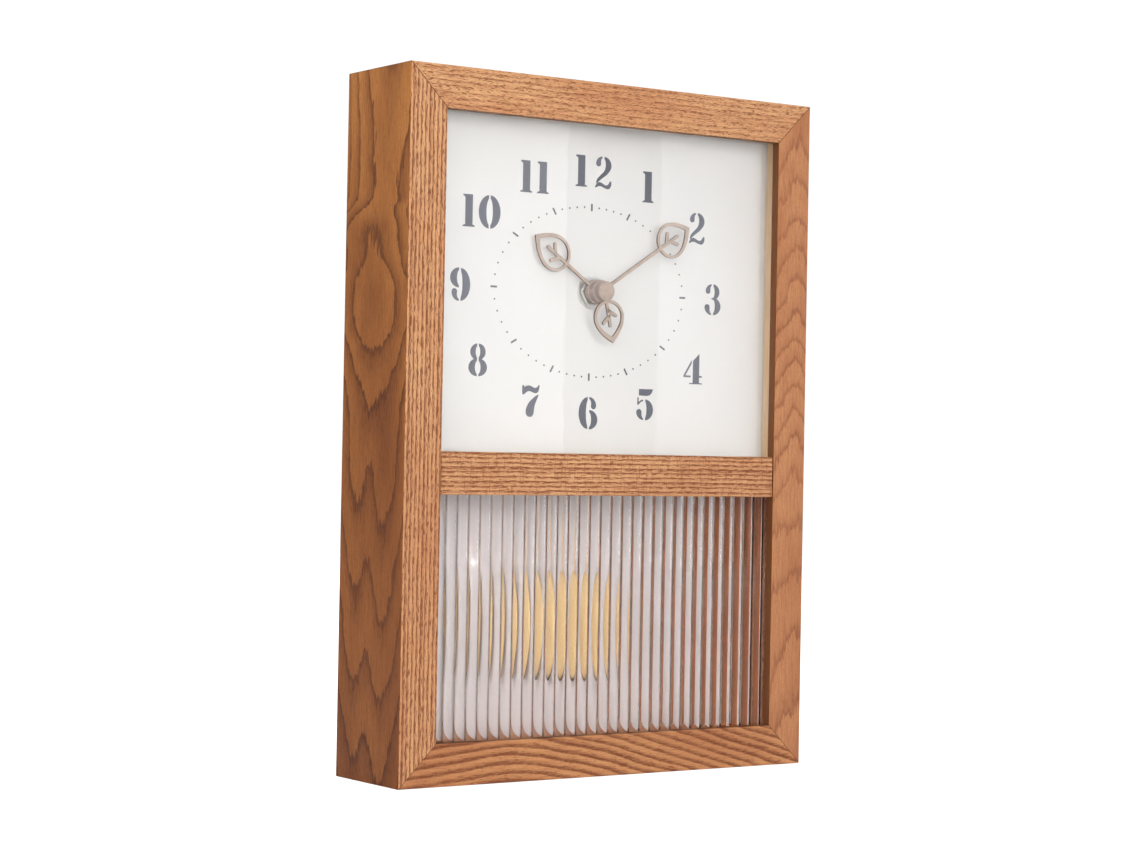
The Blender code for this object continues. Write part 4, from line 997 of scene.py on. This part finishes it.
def leaf_hand(node, body, angle, deep, leaf, boss, bore=0.0):
    """A leaf hand: the leaf's rim with its arm and veins, and the turned boss, which is closed in
    front where it has no bore. leaf is (start, end); boss is (radius, front, back)."""
    start, end = leaf
    length = end - start
    outlines = [
        leaf_outline(start, length, LEAF_WIDE),
        leaf_outline(start + LEAF_BAND, length - LEAF_POINT * LEAF_BAND, LEAF_WIDE - 2 * LEAF_BAND),
    ]
    rim = sheet_piece(node + "_leaf", outlines, deep, HAND_THICK, HAND_METAL, HAND_ROUNDING, angle)
    low, high = start + LOW_VEIN * length, start + HIGH_VEIN * length
    away = Vector((math.sin(VEIN_LEAN), math.cos(VEIN_LEAN)))
    bars = {
        "arm": ((0.0, boss[0] * ARM_ROOT), (0.0, start + ARM_END * length)),
        "left_vein": ((0.0, low), (away.x * -LEFT_VEIN, low + away.y * LEFT_VEIN)),
        "right_vein": ((0.0, high), (away.x * RIGHT_VEIN, high + away.y * RIGHT_VEIN)),
    }
    for label, ends in bars.items():
        strip = sheet_piece(
            node + "_" + label, [bar_outline(ARM_WIDE, *ends)], deep, ARM_THICK, HAND_METAL, HAND_ROUNDING,
            angle,
        )
        place_piece(strip, body)
    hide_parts(node)
    place_piece(rim, body)
    radius, front_face, back_face = boss

    def hub(bm):
        profile = [
            (bore, front_face + BOSS_DISH),
            (radius - BOSS_EDGE, front_face),
            (radius - BOSS_EDGE * 0.3, front_face + BOSS_EDGE * 0.3),
            (radius, front_face + BOSS_EDGE),
            (radius, back_face - BOSS_EDGE * 0.5),
            (radius - BOSS_EDGE * 0.5, back_face),
            (bore, back_face),
        ]
        closed_profile(bm, profile, (0.0, AXIS_Z))

    def cap(bm):
        profile = [
            (0.0, front_face),
            (radius - BOSS_EDGE * 1.6, front_face),
            (radius - BOSS_EDGE * 0.6, front_face + BOSS_EDGE * 0.2),
            (radius, front_face + BOSS_EDGE * 1.2),
            (radius, back_face - BOSS_EDGE * 0.5),
            (radius - BOSS_EDGE * 0.5, back_face),
            (0.0, back_face),
        ]
        lathe(bm, profile, (0.0, AXIS_Z))

    boss_piece = mesh_object(node + "_boss", hub if bore else cap, BOSS_METAL, smooth_angle=35)
    place_piece(boss_piece, body)


# name, body, degrees past twelve, depth, leaf, boss and bore
HANDS = (
    ("hour_hand", "hour_hand_train", 304.7, 0.0182, (0.0210, 0.0436), (0.0059, 0.0174, 0.0197), 0.0029),
    ("minute_hand", "minute_hand_train", 56.8, 0.0146, (0.0400, 0.0612), (0.0054, 0.0139, 0.0171), 0.0019),
    ("second_hand", "second_hand_train", 168.0, 0.0119, (0.0042, 0.0247), (0.0047, 0.0102, 0.0136)),
)
for hand in HANDS:
    leaf_hand(*hand)


# ================================================================ pendulum
BOB_RADIUS = 0.0263
BOB_Z = 0.0680
BOB_FRONT = 0.0289           # depths of the dome's middle, the dome's edge and the flat back
BOB_RIM = 0.0321
BOB_BACK = 0.0332
BOB_ROLL = ((0.0, 0.0325), (0.0003, 0.0330), (0.0007, BOB_BACK))       # the rim: inset and depth
DOME_STEPS = 24


def bob(bm):
    """Domed front, rolled rim, flat back."""
    profile = []
    for step in range(DOME_STEPS + 1):
        turn = math.radians(90 * step / DOME_STEPS)
        profile.append((BOB_RADIUS * math.sin(turn), BOB_RIM - (BOB_RIM - BOB_FRONT) * math.cos(turn)))
    profile += [(BOB_RADIUS - inset, deep) for inset, deep in BOB_ROLL] + [(0.0, BOB_BACK)]
    lathe(bm, profile, (0.0, BOB_Z), sides=128)


disc = mesh_object("pendulum_disc", bob, BRASS, smooth_angle=40)
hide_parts("pendulum_bob")
place_piece(disc, "pendulum")


# ================================================================ stage
FLOOR_HALF = 2.6
FLOOR_GAP = 0.0002           # keeps the floor's face off the clock's underside
FLOOR_GLOW = 0.75            # seen by the camera only


def floor_grid(bm):
    bmesh.ops.create_grid(bm, x_segments=8, y_segments=8, size=FLOOR_HALF)


def floor_finish():
    graph = Graph("pale_floor", Roughness=0.8, Specular_IOR_Level=0.1)
    cloud = graph.noise((0.01, 0.01, 0.01), 3.0)
    base = graph.mix(graph.span(cloud, 0.3, 0.7), (0.86, 0.86, 0.86, 1.0), (0.83, 0.83, 0.83, 1.0))
    path = graph.add("LightPath")
    graph.shader.inputs["Emission Color"].default_value = (1.0, 1.0, 1.0, 1.0)
    glow = graph.math("MULTIPLY", path.outputs["Is Camera Ray"], FLOOR_GLOW)
    return graph.set(Base_Color=base, Emission_Strength=glow)


floor = mesh_object("floor", floor_grid, floor_finish())
floor.location.z = -FLOOR_GAP


def world(seen_strength, fill_strength):
    """White to the camera and a softer even light for the scene."""
    sky = bpy.data.worlds.new("studio")
    sky.use_nodes = True
    tree = sky.node_tree
    tree.nodes.clear()
    path = tree.nodes.new("ShaderNodeLightPath")
    backgrounds = []
    for strength in (fill_strength, seen_strength):
        background = tree.nodes.new("ShaderNodeBackground")
        background.inputs["Color"].default_value = (1.0, 1.0, 1.0, 1.0)
        background.inputs["Strength"].default_value = strength
        backgrounds.append(background)
    blend = tree.nodes.new("ShaderNodeMixShader")
    output = tree.nodes.new("ShaderNodeOutputWorld")
    tree.links.new(path.outputs["Is Camera Ray"], blend.inputs[0])
    tree.links.new(backgrounds[0].outputs[0], blend.inputs[1])
    tree.links.new(backgrounds[1].outputs[0], blend.inputs[2])
    tree.links.new(blend.outputs[0], output.inputs["Surface"])
    scene.world = sky


def softbox(name, place, aim, size, power, colour=(1.0, 1.0, 1.0)):
    """A rectangular light at place that looks at aim; metres and watts."""
    lamp = bpy.data.lights.new(name, "AREA")
    lamp.shape = "RECTANGLE"
    lamp.size, lamp.size_y = size
    lamp.energy = power
    lamp.color = colour
    thing = bpy.data.objects.new(name, lamp)
    scene.collection.objects.link(thing)
    thing.location = place
    thing.rotation_euler = (Vector(aim) - Vector(place)).to_track_quat("-Z", "Y").to_euler()
    return thing


MIDDLE = (0.0, 0.0, 0.16)
world(seen_strength=1.05, fill_strength=0.41)
# The key shows in no reflection. Light that is reflected inside a pane leaves it as transmitted light,
# and would show the key all the same, so the key is sampled only from the surfaces it lights.
key = softbox("key_softbox", (-0.80, -2.02, 0.27), MIDDLE, (0.9, 0.9), 24.5)
key.visible_glossy = False
key.data.cycles.use_multiple_importance_sampling = False
softbox("left_softbox", (-0.85, -0.25, 1.05), MIDDLE, (0.6, 0.6), 5.2)
softbox("right_strip", (2.22, -0.6, 0.3), MIDDLE, (0.25, 1.6), 9.0)
# the dial glass shows the two windows as pale bands
softbox("middle_window", (0.95, -1.9, 0.35), (0.95, 0.0, 0.35), (0.63, 1.6), 2.0)
softbox("right_window", (2.02, -1.9, 0.35), (2.02, 0.0, 0.35), (1.2, 1.6), 3.5, (0.93, 0.97, 1.0))
softbox("rear_softbox", (0.9, 2.2, 0.9), MIDDLE, (1.2, 1.2), 14.0)
softbox("top_softbox", (0.0, 0.1, 2.2), MIDDLE, (1.6, 1.6), 7.0)

# ================================================================ camera
CAMERA_PLACE = (-0.71493, -1.02505, 0.15055)
CAMERA_TURN = (90.567, -1.043, -34.657)      # degrees
LENS = 82.65                 # millimetres, on a sensor 36 millimetres wide

camera_data = bpy.data.cameras.new("camera")
camera_data.lens = LENS
camera_data.sensor_width = 36.0
camera_data.sensor_fit = "HORIZONTAL"
camera_data.clip_start = 0.01
camera = bpy.data.objects.new("camera", camera_data)
scene.collection.objects.link(camera)
camera.location = CAMERA_PLACE
camera.rotation_euler = Euler([math.radians(angle) for angle in CAMERA_TURN], "XYZ")
bpy.context.scene.camera = camera
scene.view_settings.view_transform = "Standard"
scene.view_settings.look = "None"
